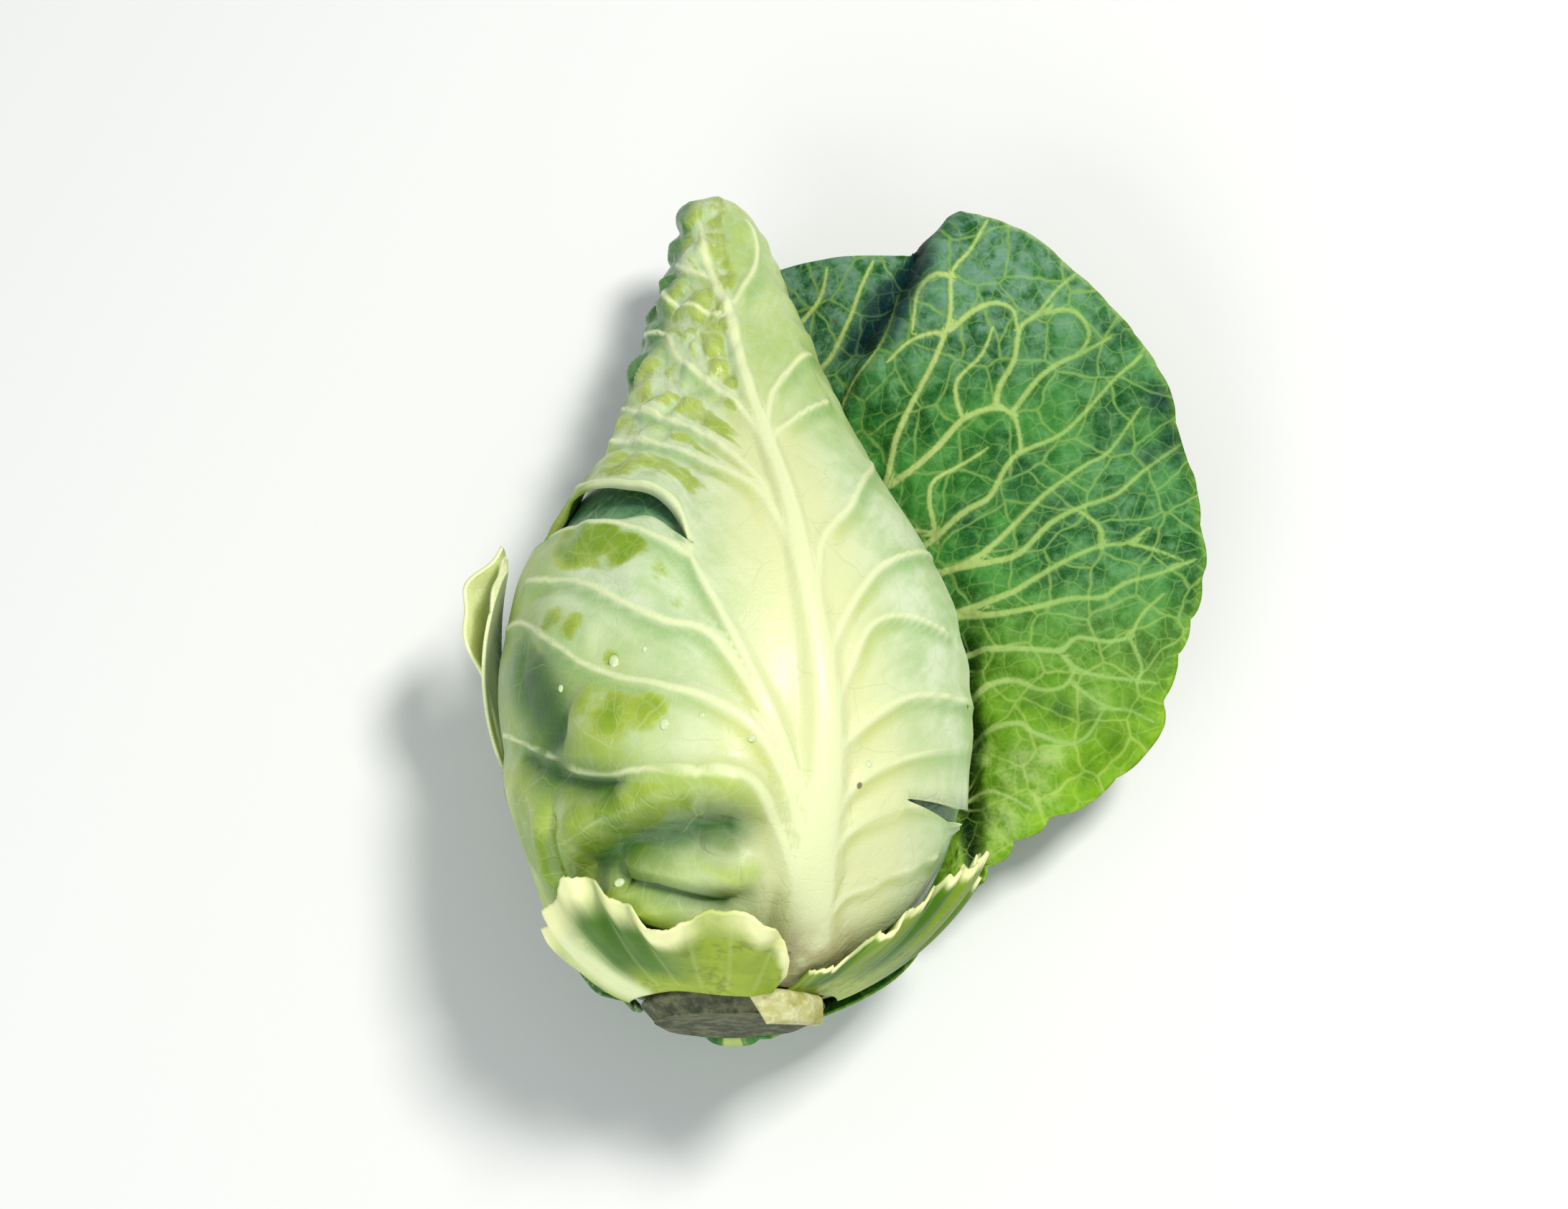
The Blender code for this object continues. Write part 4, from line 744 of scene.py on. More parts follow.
def make_wrapper():
    counts = (33, 33, 112)             # rows below the small slit, up to the tear and above it
    notch_j, tear_j = counts[0] - 1, counts[0] + counts[1] - 1
    rows = np.concatenate([np.linspace(0, NOTCH_ROW, counts[0]),
                           np.linspace(NOTCH_ROW, TEAR_ROW, counts[1]),
                           TEAR_ROW + (1 - TEAR_ROW) * np.linspace(0, 1, counts[2]) ** 1.15])
    cols, mid_col = 176, 114           # all columns, and the one that runs up the midrib
    u, v = np.meshgrid(np.arange(cols + 1), rows, indexing="ij")
    row = np.arange(len(rows))[None, :]
    upper, above = row > tear_j, row > notch_j
    left, right = front_margins(v, upper)
    mid = smooth(v, *MIDRIB_ANGLE)
    phi = np.where(u <= mid_col, left + (mid - left) * u / mid_col,
                   mid + (right - mid) * (u - mid_col) / (cols - mid_col))
    run, lip_up, lip_low, lift = opened(phi, front_run(phi, v), upper, above)
    off = front_off(phi, run, lip_up, lip_low) + lift
    pts = on_head(phi, run, FRONT_OFF + off, FRONT_FLOOR)
    flat = on_head(phi, run, FRONT_OFF)
    y = flat[..., 1]
    high, marks = veined(flat, np.stack([phi, y], -1), place_on_head, FRONT_MIDRIB, FRONT_RIBS,
                         scale=1.15, painted=0.2, least=0.42)
    high = high * step(phi, 88, 72) * step(phi, -92, -78) * step(pts[..., 1], 161, 150)

    # between the ribs the blade swells, most at the left; near the tip it is full of blisters
    apart = 1 - np.exp(-(np.maximum(marks["rib_far"], 0) / 6) ** 2)
    walls = measured(flat / 10, lambda n, place: fine_net(n, place, BLISTER))
    walls_2 = measured(flat / 10, lambda n, place: fine_net(n, place, SMALL_BLISTER))
    left_side = step(phi, 16, -8)
    tip = step(y, 62, 104) * (0.2 + 0.8 * left_side) + 0.5 * step(y, 34, 70) * step(phi, 8, -12)
    tip = np.clip(tip, 0, 1) * step(y, 162, 156)
    swell = ((0.5 + 0.7 * left_side) * apart + 2.8 * tip * (1 - np.exp(-(walls / 2.6) ** 2))
             + 0.35 * tip * (1 - np.exp(-(walls_2 / 1.1) ** 2)) - 1.8 * tip)
    margin = np.minimum(step(phi, left, left + 6), step(phi, right, right - 6))
    thick = np.maximum((0.7 + 0.6 * margin) + high + swell * margin, 0.6)
    marks = wrapper_marks(marks, flat, phi, v, tip)

    def is_open(i, j):
        if j == tear_j:
            return phi[i + 1, j] <= TEAR_TIP + 1e-6
        return j == notch_j and phi[i, j] >= NOTCH_TIP - 1e-6

    # beyond each slit's end the two rows are one
    for j, beyond in ((tear_j, TEAR_TIP - phi[:, tear_j]), (notch_j, phi[:, notch_j] - NOTCH_TIP)):
        shut = beyond < 0
        shut[np.argmin(np.where(beyond >= 0, beyond, 1e9))] = True
        pts[shut, j + 1], thick[shut, j + 1] = pts[shut, j], thick[shut, j]
    return leaf("wrapper_leaf", pts, thick, flat, marks, WRAPPER, open_cells=is_open)


wrapper = dressed(make_wrapper(), "front_leaf")

# %% [markdown]
# A few drops of water stand on the wrapper. Each is a low dome, set where a ray toward the head's axis
# meets the leaf.

# %% The drops of water
# angle, place along, radius
DROPS = [(-16, -17, 1.5), (3, -21, 1.1), (-30, 2, 1.7), (32, -24, 1.1), (-32, -53, 1.4), (-8, -15, 0.8),
         (-46, -2, 1.0), (-22, 4, 0.8)]


def water_look(n, skin):
    swirl = n.noise(n.add("ShaderNodeTexCoord", out=3), 900.0, 1.0)
    return n.mix(swirl, (196, 214, 152), (222, 234, 188)), 0.05 + swirl * 0.04, swirl * 0.02


drops = []
for phi, y, radius in DROPS:
    place = Vector(place_on_head(phi, y).ravel()[:3]) * MM
    x, z = (float(c) for c in axis_at(y))
    axis = Vector((x, y, z)) * MM
    away = (place - axis).normalized()
    _hit, spot, normal, _face = wrapper.ray_cast(place + 0.02 * away, -away)
    bpy.ops.object.select_all(action="DESELECT")
    bpy.ops.mesh.primitive_uv_sphere_add(segments=28, ring_count=16, radius=radius * MM, location=spot,
                                         rotation=normal.to_track_quat("Z", "Y").to_euler())
    bpy.context.object.scale = (1.0, 0.82, 0.5)
    bpy.ops.object.transform_apply()
    drops.append(bpy.context.object)
bpy.ops.object.select_all(action="DESELECT")
for drop in drops:
    drop.select_set(True)
bpy.context.view_layer.objects.active = drops[0]
bpy.ops.object.join()
water = bpy.context.object
water.name = water.data.name = "water_drops"
bpy.ops.object.shade_smooth()
water.data.materials.clear()
water.data.materials.append(finish("water", water_look, coat=1.0, coat_rough=0.03, glow=0.0, shine=0.6))
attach(water, "root")
print("water drops", len(drops))

# %% [markdown]
# The loose leaf is the biggest and darkest. It cups the head from below and bends out flat at the
# right, with its upper face showing. Its ribs stand out a little on this face and more below, and the
# blade between them is blistered, with a net of pale veins in three sizes.

# %% The loose leaf's sections, outline and ribs
# under the head the leaf is a cup; at the angle LEAVE it bends off to two headings, in degrees
CUP_Y = [-85, -76, -60, -40, -15, 15, 45, 75, 100, 130, 165]
CUP_R = [22, 24.8, 48, 60.5, 66, 66, 60.5, 54, 48, 44, 42]
CUP_Z = [57.4, 58.0, 60, 61.5, 62, 62.2, 61, 60.5, 60, 60, 60]
LEAVE = [138, 136, 132, 126, 122, 124, 128, 136, 144, 150, 152]
OUT_NEAR = [-26, -26, -24, -20, -14, -8, -2, 3, 5, 6, 6]
OUT_FAR = [-36, -36, -34, -30, -26, -20, -12, -6, -4, -2, -2]
BEND = 36.0                        # the length over which it bends
OUTER_THICK = 1.3
# outline, midrib and ribs as places across and along the leaf
OUTER_RIGHT = [(12, -79), (40, -70), (62, -52), (71, -38), (78, -37), (87, -29), (101, -20), (120, -9),
               (130, 4), (137, 26), (143, 46), (142, 70), (135, 92), (128, 113), (118, 127),
               (104, 141), (86, 154), (72, 159)]
OUTER_TOP = [(-16, 142), (4, 150), (20, 153), (39, 153), (52, 152), (62, 151), (66, 156), (72, 159)]
OUTER_LEFT = [(-8, -78), (-26, -62), (-40, -38), (-46, 0), (-44, 40), (-36, 80), (-26, 115), (-16, 142)]
OUTER_MIDRIB = [(1, -78, 7, 5.0), (6, -66, 7, 4.6), (14, -48, 6.5, 3.6), (22, -10, 5.5, 2.2),
                (26, 30, 5, 2.2), (25, 70, 4.4, 2.2), (20, 105, 3.8, 1.8), (12, 143, 3, 1.0)]
OUTER_RIBS = [
    ([(19, 108), (27, 118), (33, 123), (39, 133), (43, 142), (47, 150)], 3.0, 1.6, 2.2, 0.8),
    ([(21, 133), (30, 141), (33, 150)], 2.4, 1.0, 2.0, 0.6),
    ([(22, 88), (33, 102), (39, 111), (45, 117), (51, 126), (54, 138)], 3.0, 1.6, 2.2, 0.8),
    ([(25, 62), (36, 70), (47, 77), (51, 83), (53, 94), (56, 102), (64, 117), (68, 128), (69, 140),
      (75, 147), (80, 155)], 3.8, 2.2, 2.4, 0.9),
    ([(69, 139), (64, 140), (59, 135), (57, 124)], 2.4, 1.0, 2.0, 0.6),
    ([(68, 124), (75, 129), (81, 131), (86, 129), (87, 124)], 2.4, 0.9, 2.4, 0.8),
    ([(52, 81), (59, 85), (65, 91), (72, 99), (81, 102), (86, 100), (88, 95), (89, 89)],
     3.2, 1.6, 3.0, 1.5),
    ([(81, 102), (82, 108), (86, 115), (88, 124), (93, 128), (99, 135), (105, 140)], 2.8, 1.3, 2.0, 0.7),
    ([(93, 128), (103, 129), (108, 123), (105, 117)], 2.2, 0.8, 2.2, 0.7),
    ([(86, 101), (93, 110), (100, 115), (105, 117), (114, 122)], 2.4, 1.1, 2.0, 0.6),
    ([(26, 42), (40, 52), (57, 60), (66, 63), (75, 71), (81, 75), (85, 84), (89, 89), (100, 94),
      (108, 102), (115, 110), (123, 117)], 4.0, 2.3, 2.2, 0.8),
    ([(67, 63), (66, 67), (64, 75), (65, 81), (73, 86), (79, 90)], 2.4, 1.0, 2.0, 0.6),
    ([(25, 22), (45, 42), (62, 53), (70, 53), (77, 55), (83, 60), (90, 68), (98, 77), (108, 85),
      (114, 89), (122, 101)], 4.0, 2.3, 2.2, 0.8),
    ([(70, 53), (83, 55), (91, 58), (99, 67), (107, 72), (117, 76), (125, 84), (134, 91)],
     3.2, 1.8, 2.2, 0.7),
    ([(24, 0), (50, 26), (70, 39), (81, 42), (90, 46), (97, 51), (107, 57), (114, 60), (121, 61),
      (127, 66)], 3.8, 2.1, 2.2, 0.7),
    ([(114, 60), (113, 66), (107, 71)], 2.2, 0.9, 2.0, 0.6),
    ([(72, 40), (85, 39), (95, 41), (105, 44), (115, 45), (121, 49), (131, 52), (140, 56)],
     3.0, 1.7, 2.2, 0.6),
    ([(23, -16), (50, 12), (68, 26), (80, 29), (90, 29), (103, 29), (108, 33), (117, 32), (123, 34),
      (127, 41), (132, 46)], 3.6, 1.8, 2.2, 0.6),
    ([(103, 29), (108, 24), (116, 22), (131, 21)], 2.4, 1.1, 2.0, 0.5),
    ([(60, 2), (80, 16), (84, 19), (91, 20), (98, 17), (104, 18), (108, 24)], 3.4, 2.2, 2.4, 1.0),
    ([(20, -38), (50, -14), (79, 3), (91, 7), (96, 4), (104, 2), (110, 3), (116, 13)],
     3.4, 1.8, 2.2, 0.7),
    ([(15, -56), (48, -32), (66, -20), (81, -12), (88, -13), (95, -17)], 3.0, 1.5, 2.0, 0.6),
    # finer ones that only the finish and a low rise show
    ([(66, 123), (62, 123), (56, 121), (50, 116)], 1.8, 0.5, 1.6, 0.3),
    ([(72, 99), (70, 104), (70, 110), (77, 117), (80, 124)], 1.9, 0.6, 1.6, 0.3),
    ([(50, 67), (59, 67), (66, 65)], 1.8, 0.5, 1.6, 0.3),
    ([(121, 61), (129, 59), (136, 56)], 1.7, 0.4, 1.5, 0.3),
    ([(123, 34), (127, 25), (125, 21)], 1.7, 0.4, 1.5, 0.3),
    ([(106, 20), (116, 13), (123, 12), (129, 9)], 1.8, 0.5, 1.5, 0.3),
]
print("the loose leaf has", len(OUTER_RIBS), "side ribs")

# %% The loose leaf's form
S_STEP = 0.5
S_LINE = np.arange(-140, 240.5, S_STEP)
Y_LINE = np.arange(-90, 171, 1.0)


def outer_sections():
    """the leaf's cross-sections, found by following their heading from under the head outward"""
    y, s = Y_LINE[None, :], S_LINE[:, None]
    radius = smooth(y, CUP_Y, CUP_R)
    leave = math.pi - np.radians(smooth(y, CUP_Y, LEAVE))
    near, far = np.radians(smooth(y, CUP_Y, OUT_NEAR)), np.radians(smooth(y, CUP_Y, OUT_FAR))
    start = leave * radius
    bent = step(s, start, start + BEND)
    past = np.clip((s - start - BEND) / 90, 0, 1)
    heading = np.where(s < start, s / radius, leave * (1 - bent) + bent * (near + (far - near) * past))
    middle = int(np.searchsorted(S_LINE, 0))
    out = []
    for rate in (np.cos(heading), np.sin(heading)):
        total = np.cumsum((rate[1:] + rate[:-1]) / 2 * S_STEP, axis=0)
        total = np.vstack([np.zeros((1, rate.shape[1])), total])
        out.append(total - total[middle])
    return out[0] + axis_at(y)[0], out[1] + smooth(y, CUP_Y, CUP_Z) - radius


OUTER_X, OUTER_Z = outer_sections()


def between(table, s, y):
    """a value of a table over S_LINE and Y_LINE, between its nearest four"""
    i = np.clip((s - S_LINE[0]) / S_STEP, 0, len(S_LINE) - 1.001)
    j = np.clip(y - Y_LINE[0], 0, len(Y_LINE) - 1.001)
    a, b = i.astype(int), j.astype(int)
    f, g = i - a, j - b
    return ((table[a, b] * (1 - f) + table[a + 1, b] * f) * (1 - g)
            + (table[a, b + 1] * (1 - f) + table[a + 1, b + 1] * f) * g)


def past_crease(s, y):
    """how far a place lies beyond the line of the crease"""
    return s - (62.5 + 0.64 * (y - 148))


def outer_place(s, y):
    """a place across and along the leaf, with the crease near its top"""
    s, y = np.asarray(s, float), np.asarray(y, float)
    x, z = between(OUTER_X, s, y), between(OUTER_Z, s, y)
    fold = past_crease(s, y)
    z = z + 12 * step(fold, -4, 4.5) * step(y, 85, 140) * (1 - 0.35 * step(fold, 25, 80))
    return np.stack([x, y, np.maximum(z, OUTER_THICK)], -1)


def edge(points, t):
    """a place on an outline, by its share of the length"""
    pts = along(points, 10)
    run = length_along(pts)
    return np.stack([np.interp(t * run[-1], run, pts[:, c]) for c in (0, 1)], -1)


print("half way up its right margin the loose leaf is at", np.round(edge(OUTER_RIGHT, 0.5)), "mm")


# %% The loose leaf's finish
WIDE_CELL, MID_CELL, SMALL_CELL = 14.0, 6.0, 2.3


def loose_look(n, skin):
    ragged = n.noise(skin, 9.0, 3.0, 0.6) - 0.5
    rib = n.soft(painted_rib(n) + ragged * 0.9, 0.7, -0.25)
    near_rib = n.soft(painted_rib(n) + ragged * 2.0, 2.2, 0.0)
    wide = fine_net(n, skin, WIDE_CELL, flat=True)
    mid = fine_net(n, skin, MID_CELL, flat=True)
    small = fine_net(n, skin, SMALL_CELL, flat=True)
    bloom, warm, wet = mark(n, "bloom"), mark(n, "warm"), mark(n, "wet")
    cloud = n.noise(skin, 0.55, 5.0, 0.62)
    dapple = n.noise(skin, 2.2, 6.0, 0.66)
    ground = n.mix(n.soft(cloud, 0.36, 0.64), (18, 84, 30), (64, 138, 54))
    ground = n.mix(n.soft(dapple, 0.46, 0.7) * 0.5, ground, (108, 166, 88))
    ground = n.mix(warm * (0.45 + cloud * 0.8), ground, n.mix(dapple, (72, 142, 2), (162, 202, 34)))
    # pale waxy coat, and painted sheen on the bulges low down
    ground = n.mix(bloom * n.soft(dapple * 0.8 + cloud * 0.4, 0.42, 0.76), ground,
                   n.mix(warm, (112, 150, 130), (196, 220, 140)))
    # painted shade beside the crease and in spots
    ground = n.mix(wet, ground, n.mix(warm, (0, 44, 48), (8, 84, 6)))
    lines = (n.soft(wide + ragged * 0.3, 0.75, 0.05) * 0.75).most(n.soft(mid, 0.4, 0.02) * 0.42).most(
        n.soft(small, 0.22, 0.02) * 0.14) * (1.0 - wet * 0.7) * (1.0 - warm * 0.35)
    ground = n.mix(near_rib * 0.3, ground, (104, 152, 62))
    # painted shade in the gap where the blade leaves the head
    ground = n.mix(mark(n, "gap"), ground, (4, 44, 8))
    colour = n.mix(lines, ground, n.mix(warm, (132, 172, 84), (184, 208, 104)))
    pale = n.mix(mark(n, "young") * (0.5 + dapple), (158, 194, 104), (200, 218, 130))
    colour = n.mix(rib * (0.8 - wet * 0.6), colour, pale)
    rough = 0.56 + (dapple - 0.5) * 0.14
    height = (n.soft(mid, 0.0, 2.4) * 0.2 + n.soft(small, 0.0, 0.8) * 0.05
              + n.noise(skin, 5.0, 4.0, 0.6) * 0.2 + n.noise(skin, 45.0, 2.0, 0.5) * 0.01)
    return colour, rough, height


LOOSE = finish("loose_leaf", loose_look, coat=0.0, glow=0.03, shine=0.13)


# %% The loose leaf's mesh
# spots of painted shade and of painted sheen: place across, place along, reach, strength
SHADE_SPOTS = [(128, 104, 5, 0.9), (134, 92, 6, 0.9), (126, 88, 4, 0.7), (118, 92, 3, 0.4),
             (108, 116, 4, 0.5), (100, 74, 4, 0.4), (88, 78, 5, 0.5), (74, 70, 5, 0.4), (80, 6, 4, 0.8),
             (95, -4, 6, 0.4), (128, 28, 5, 0.4), (112, 96, 4, 0.4), (96, 14, 4, 0.7), (103, 11, 4.5, 0.9),
             (111, 9, 4.5, 0.8), (119, 2, 4, 0.6), (112, -6, 3.5, 0.5), (124, 14, 4, 0.6), (90, 10, 3, 0.4)]
SHEEN = [(92, -6, 6, 0.9), (82, -2, 4, 0.6), (100, -2, 5, 0.7), (86, -20, 6, 0.8), (98, -12, 5, 0.6),
         (112, 14, 4, 0.5), (78, -28, 5, 0.7)]


def spots(s, y, table):
    """how strongly the spots of a table cover a place"""
    total = np.zeros_like(s)
    for s_0, y_0, reach, strength in table:
        total = np.maximum(total, strength * np.exp(-((s - s_0) ** 2 + (y - y_0) ** 2) / reach ** 2))
    return total


def loose_places(u, v):
    """places across and along the leaf, blended from its outline; the margin runs in small lobes"""
    corners = [np.array(p, float) for p in (OUTER_LEFT[0], OUTER_RIGHT[0], OUTER_LEFT[-1], OUTER_RIGHT[-1])]
    left, right, top = edge(OUTER_LEFT, v), edge(OUTER_RIGHT, v), edge(OUTER_TOP, u)
    low = corners[0] + (corners[1] - corners[0]) * u[..., None]
    # deeper toward the stem
    lobes = np.abs(np.sin(v * 62 + 1.5 * np.sin(v * 23))) ** 0.7 - 0.7
    right = right + ((2.6 - 1.4 * step(v, 0.3, 0.6)) * lobes * step(v, 0.06, 0.2)
                     * step(v, 1, 0.93))[..., None] * np.array([0.9, -0.45])
    uu, vv = u[..., None], v[..., None]
    return ((1 - uu) * left + uu * right + (1 - vv) * low + vv * top
            - ((1 - uu) * (1 - vv) * corners[0] + uu * (1 - vv) * corners[1]
               + (1 - uu) * vv * corners[2] + uu * vv * corners[3]))


def loose_marks(marks, s, y, u, gap):
    """what the finish reads: warm, young and pale waxy parts, painted sheen, and painted shade at crease,
    spots and gap
    """
    marks["warm"] = np.clip(step(y, 58, -6) * step(s, 52, 72) + step(u, 0.985, 1) * 0.5, 0, 1)
    marks["young"] = step(s, 112, 54)
    # pale waxy coat toward the top and in a dusty patch; the SHEEN spots are painted highlights on the
    # bulges
    dusty = 0.35 * np.exp(-((s - 118) / 22) ** 2 - ((y - 70) / 40) ** 2)
    marks["bloom"] = np.clip(step(y, 96, 136) * (1 - 0.5 * step(s, 80, 120)) + dusty
                             + spots(s, y, SHEEN), 0, 1)
    # painted shade: beside the crease, in the gap beside the head and in some spots near the margin
    fold = past_crease(s, y)
    crease = np.exp(-np.abs((fold + 2.6) / (3.4 + 6 * step(y, 154, 138))) ** 5) * step(y, 116, 124)
    marks["wet"] = np.clip(crease + 0.8 * spots(s, y, SHADE_SPOTS), 0, 1)
    marks["gap"] = gap
    return marks


def make_loose():
    u, v = shares(205, 215)
    flat = loose_places(u, v)
    s, y = flat[..., 0], flat[..., 1]
    pts = outer_place(s, y)
    high, marks = veined(pts, flat, outer_place, OUTER_MIDRIB, OUTER_RIBS, painted=0.23, taper=0.7,
                         mid_paint=0.3)
    normal = np.cross(np.gradient(pts, axis=0), np.gradient(pts, axis=1))
    normal /= np.linalg.norm(normal, axis=-1, keepdims=True)
    free = np.clip(step(s, 58, 74) + step(y, 66, 86) * step(s, 30, 46), 0, 1)
    wave = step(u, 0.72, 1.0) * free * (1.8 * np.sin(y / 7.5 + 0.6) + 1.1 * np.sin(y / 3.9))
    wave = wave * step(v, 0.05, 0.2)
    puff = (0.5 + 1.3 * step(y, 50, 0)) * np.sin(s / 5.2) * np.sin(y / 6.1 + s / 19) * free
    puff = puff * (1 - bump(high, 1.2))
    # the blade rises inside the cells of the two wider nets
    skin = np.stack([s, y, np.zeros_like(s)], -1)
    wide = measured(skin / 10, lambda n, place: fine_net(n, place, WIDE_CELL, flat=True))
    mid = measured(skin / 10, lambda n, place: fine_net(n, place, MID_CELL, flat=True))
    rise = 1.4 * (1 - np.exp(-(wide / 3.2) ** 2)) + 0.2 * (1 - np.exp(-(mid / 1.6) ** 2))
    rise = rise * free * (1 - bump(marks["rib_far"], 3.5))
    # the blade sinks where it leaves the head, and the finish paints shade in that gap
    gap = bump(pts[..., 0] - 62.5, 4.2 + 0.8 * np.sin(y / 4)) * step(y, -46, -36) * step(y, 42, 30)
    pts[..., 2] -= 4.0 * gap
    pts = pts + normal * (wave + puff + rise + 0.5 * np.minimum(high, 3.0) * free)[..., None]
    # below, the ribs stand out as far as the leaf's place above the floor allows
    room = np.maximum(pts[..., 2] - OUTER_THICK, 0)
    under = np.minimum(high * 0.9, room * 0.85)
    rim = np.minimum.reduce([step(u, 1, 0.96), step(u, 0, 0.03), step(v, 1, 0.96)])
    rim = np.where(room < 0.5, 1, rim)
    marks = loose_marks(marks, s, y, u, gap)
    return leaf("loose_outer_leaf", pts, 0.7 + 0.6 * rim + under, skin, marks, LOOSE, outward=-1)


dressed(make_loose(), "outer_leaf")

# %% [markdown]
# Under the wrapper lie the plainer leaves. Two of them close round the heart, and the left one shows as
# a dark strip in the tear. A third wraps the head's back and lower sides.

# %% The finish of the plain green leaves


def green_look(dark, mid, vein, cell=9.0):
    """dappled from dark to mid, with a net and ribs in the colour vein"""
    def look(n, skin):
        rib = n.soft(painted_rib(n), 0.45, -0.25)
        cloud = n.noise(skin, 0.6, 4.0, 0.6)
        dapple = n.noise(skin, 3.2, 4.0, 0.6)
        net = n.soft(fine_net(n, skin, cell), 0.6, 0.12)
        small = n.soft(fine_net(n, skin, cell * 0.34), 0.3, 0.05)
        colour = n.mix(n.soft(cloud * 0.7 + dapple * 0.3, 0.3, 0.7), dark, mid)
        colour = n.mix((net * 0.45).most(small * 0.2), colour, vein)
        colour = n.mix(rib * 0.9, colour, vein)
        height = n.noise(skin, 7.0, 3.0, 0.6) * 0.12 - net * 0.08 + n.noise(skin, 45.0, 2.0, 0.5) * 0.015
        return colour, 0.5 - dapple * 0.1, height
    return look


INNER = finish("inner_leaf", green_look((38, 100, 66), (112, 164, 116), (146, 186, 128)), glow=0.05)
BACK = finish("back_leaf", green_look((58, 106, 52), (112, 156, 92), (196, 214, 138)))


def curl_look(n, skin):
    lobe, dark = n.noise(skin, 0.8, 4.0, 0.6), mark(n, "dark")
    vein = n.soft(painted_rib(n), 0.5, -0.2)
    small = n.soft(fine_net(n, skin, 4.0, True), 0.3, 0.05)
    colour = n.mix(lobe, (226, 238, 156), (252, 254, 214))
    # painted shadow: a dark band along the leaf where its inner fold shades the outer lobe; darker toward
    # the stem too
    deep = n.mix(lobe, (40, 96, 44), (76, 128, 60))
    colour = n.mix(dark * n.soft(lobe + dark, 0.5, 0.9), colour, deep)
    colour = n.mix((vein * 0.4).most(small * 0.25), colour, (236, 240, 184))
    return colour, 0.45 + lobe * 0.1, lobe * 0.4 - small * 0.06


CURL = finish("curled_leaf", curl_look)


def base_look(n, skin):
    green, pale, lip = mark(n, "green"), mark(n, "pale"), mark(n, "lip")
    cloud, streak = n.noise(skin, 0.9, 4.0, 0.6), n.noise(skin, 4.0, 4.0, 0.62)
    colour = n.mix(cloud, (132, 164, 4), (188, 206, 58))
    colour = n.mix(n.soft(cloud * 0.5 + streak * 0.5, 0.5, 0.62) * 0.6, colour, (112, 124, 20))
    colour = n.mix(pale, colour, n.mix(streak, (218, 234, 150), (248, 252, 206)))
    # dark green where the mark says; on the left base the band in the middle is painted shadow, cast by its
    # raised rim
    leafy = green * n.soft(streak + green * 0.5, 0.3, 0.7)
    colour = n.mix(leafy, colour, n.mix(cloud, (36, 92, 4), (92, 136, 14)))
    colour = n.mix(lip, colour, (252, 254, 184))
    vein = n.soft(painted_rib(n), 0.5, -0.2)
    colour = n.mix(vein * 0.12, colour, (226, 234, 170))
    return colour, 0.42 + streak * 0.1, streak * 0.25 + n.noise(skin, 30.0, 2.0, 0.5) * 0.03


LEAF_BASE = finish("leaf_base", base_look, coat=0.1, glow=0.06, shine=0.28)

# %% The plain leaves' meshes
WRAP_COLS, WRAP_ROWS = 90, 110
PLAIN_MIDRIB = {"back": [(189, -66, 10, 3.0), (188, -20, 6, 2.4), (186, 60, 4, 1.6), (182, 145, 2.4, 0.7)],
                "left": [(-84, -58, 8, 2.0), (-84, 10, 5, 1.4), (-88, 90, 3.4, 1.0), (-100, 145, 2.2, 0.5)],
                "right": [(84, -58, 8, 2.0), (84, 10, 5, 1.4), (88, 90, 3.4, 1.0), (100, 145, 2.2, 0.5)]}


def side_ribs(midrib, count, reach, rise):
    """plain side ribs in pairs, climbing away from the midrib"""
    line = np.array(midrib, float)
    ribs = []
    for k in range(count):
        y = line[0, 1] + (line[-1, 1] - line[0, 1]) * (0.06 + 0.8 * k / count)
        for turn in (-1, 1):
            y_0 = y + 5 * turn
            phi = np.interp(y_0, line[:, 1], line[:, 0])
            path = [(phi + turn * reach * t, y_0 + rise * t * (1.5 - 0.5 * t)) for t in (0, 0.3, 0.65, 1)]
            ribs.append((path, 3.4, 1.2, 2.4, 0.5))
    return ribs


def wrapped(name, side_a, side_b, base, tip, off, thick, floor, which, mat):
    """a leaf between two margins (angles at base, middle and tip) from place base to place tip"""
    u, v = shares(WRAP_COLS, WRAP_ROWS)
    a, b = smooth(v, [0, 0.5, 1], side_a), smooth(v, [0, 0.5, 1], side_b)
    first, last = run_at(base), run_at(tip)
    run = first + (last - first) * v + 7 * np.sin(math.pi * u) * (v - 0.5)
    phi = a + (b - a) * u
    swell = 0.7 * np.exp(-((phi + 84) / 24) ** 2 - ((run - run_at(57)) / 20) ** 2)
    flat = on_head(phi, run, off)
    pts = on_head(phi, run, off + swell, floor)
    midrib = PLAIN_MIDRIB[which]
    angle = np.stack([phi, flat[..., 1]], -1)
    _high, marks = veined(flat, angle, lambda p, y: on_head(p, run_at(y), off), midrib,
                          side_ribs(midrib, 7, 58, 34), painted=0.3)
    return leaf(name, pts, thick, flat, marks, mat)


left_leaf = wrapped("left_inner_leaf", (-150, -150, -120), (-6, -6, -12), base=-60, tip=148,
                    off=INNER_OFF, thick=1.2, floor=INNER_FLOOR, which="left", mat=INNER)
right_leaf = wrapped("right_inner_leaf", (6, 6, 12), (150, 150, 120), base=-60, tip=148,
                     off=INNER_OFF, thick=1.2, floor=INNER_FLOOR, which="right", mat=INNER)
back_leaf = wrapped("back_wrapping_leaf", (122, 116, 112), (256, 252, 240), base=-67, tip=150,
                    off=BACK_OFF, thick=1.1, floor=BACK_FLOOR, which="back", mat=BACK)
dressed(left_leaf, "left_leaf")
dressed(right_leaf, "right_leaf")
dressed(back_leaf, "back_leaf")

# %% [markdown]
# The small leaf at the left grew on its own stalk. It is dried a little and curled up along its length,
# so it is lofted through six lines that run from the stem to its tip.

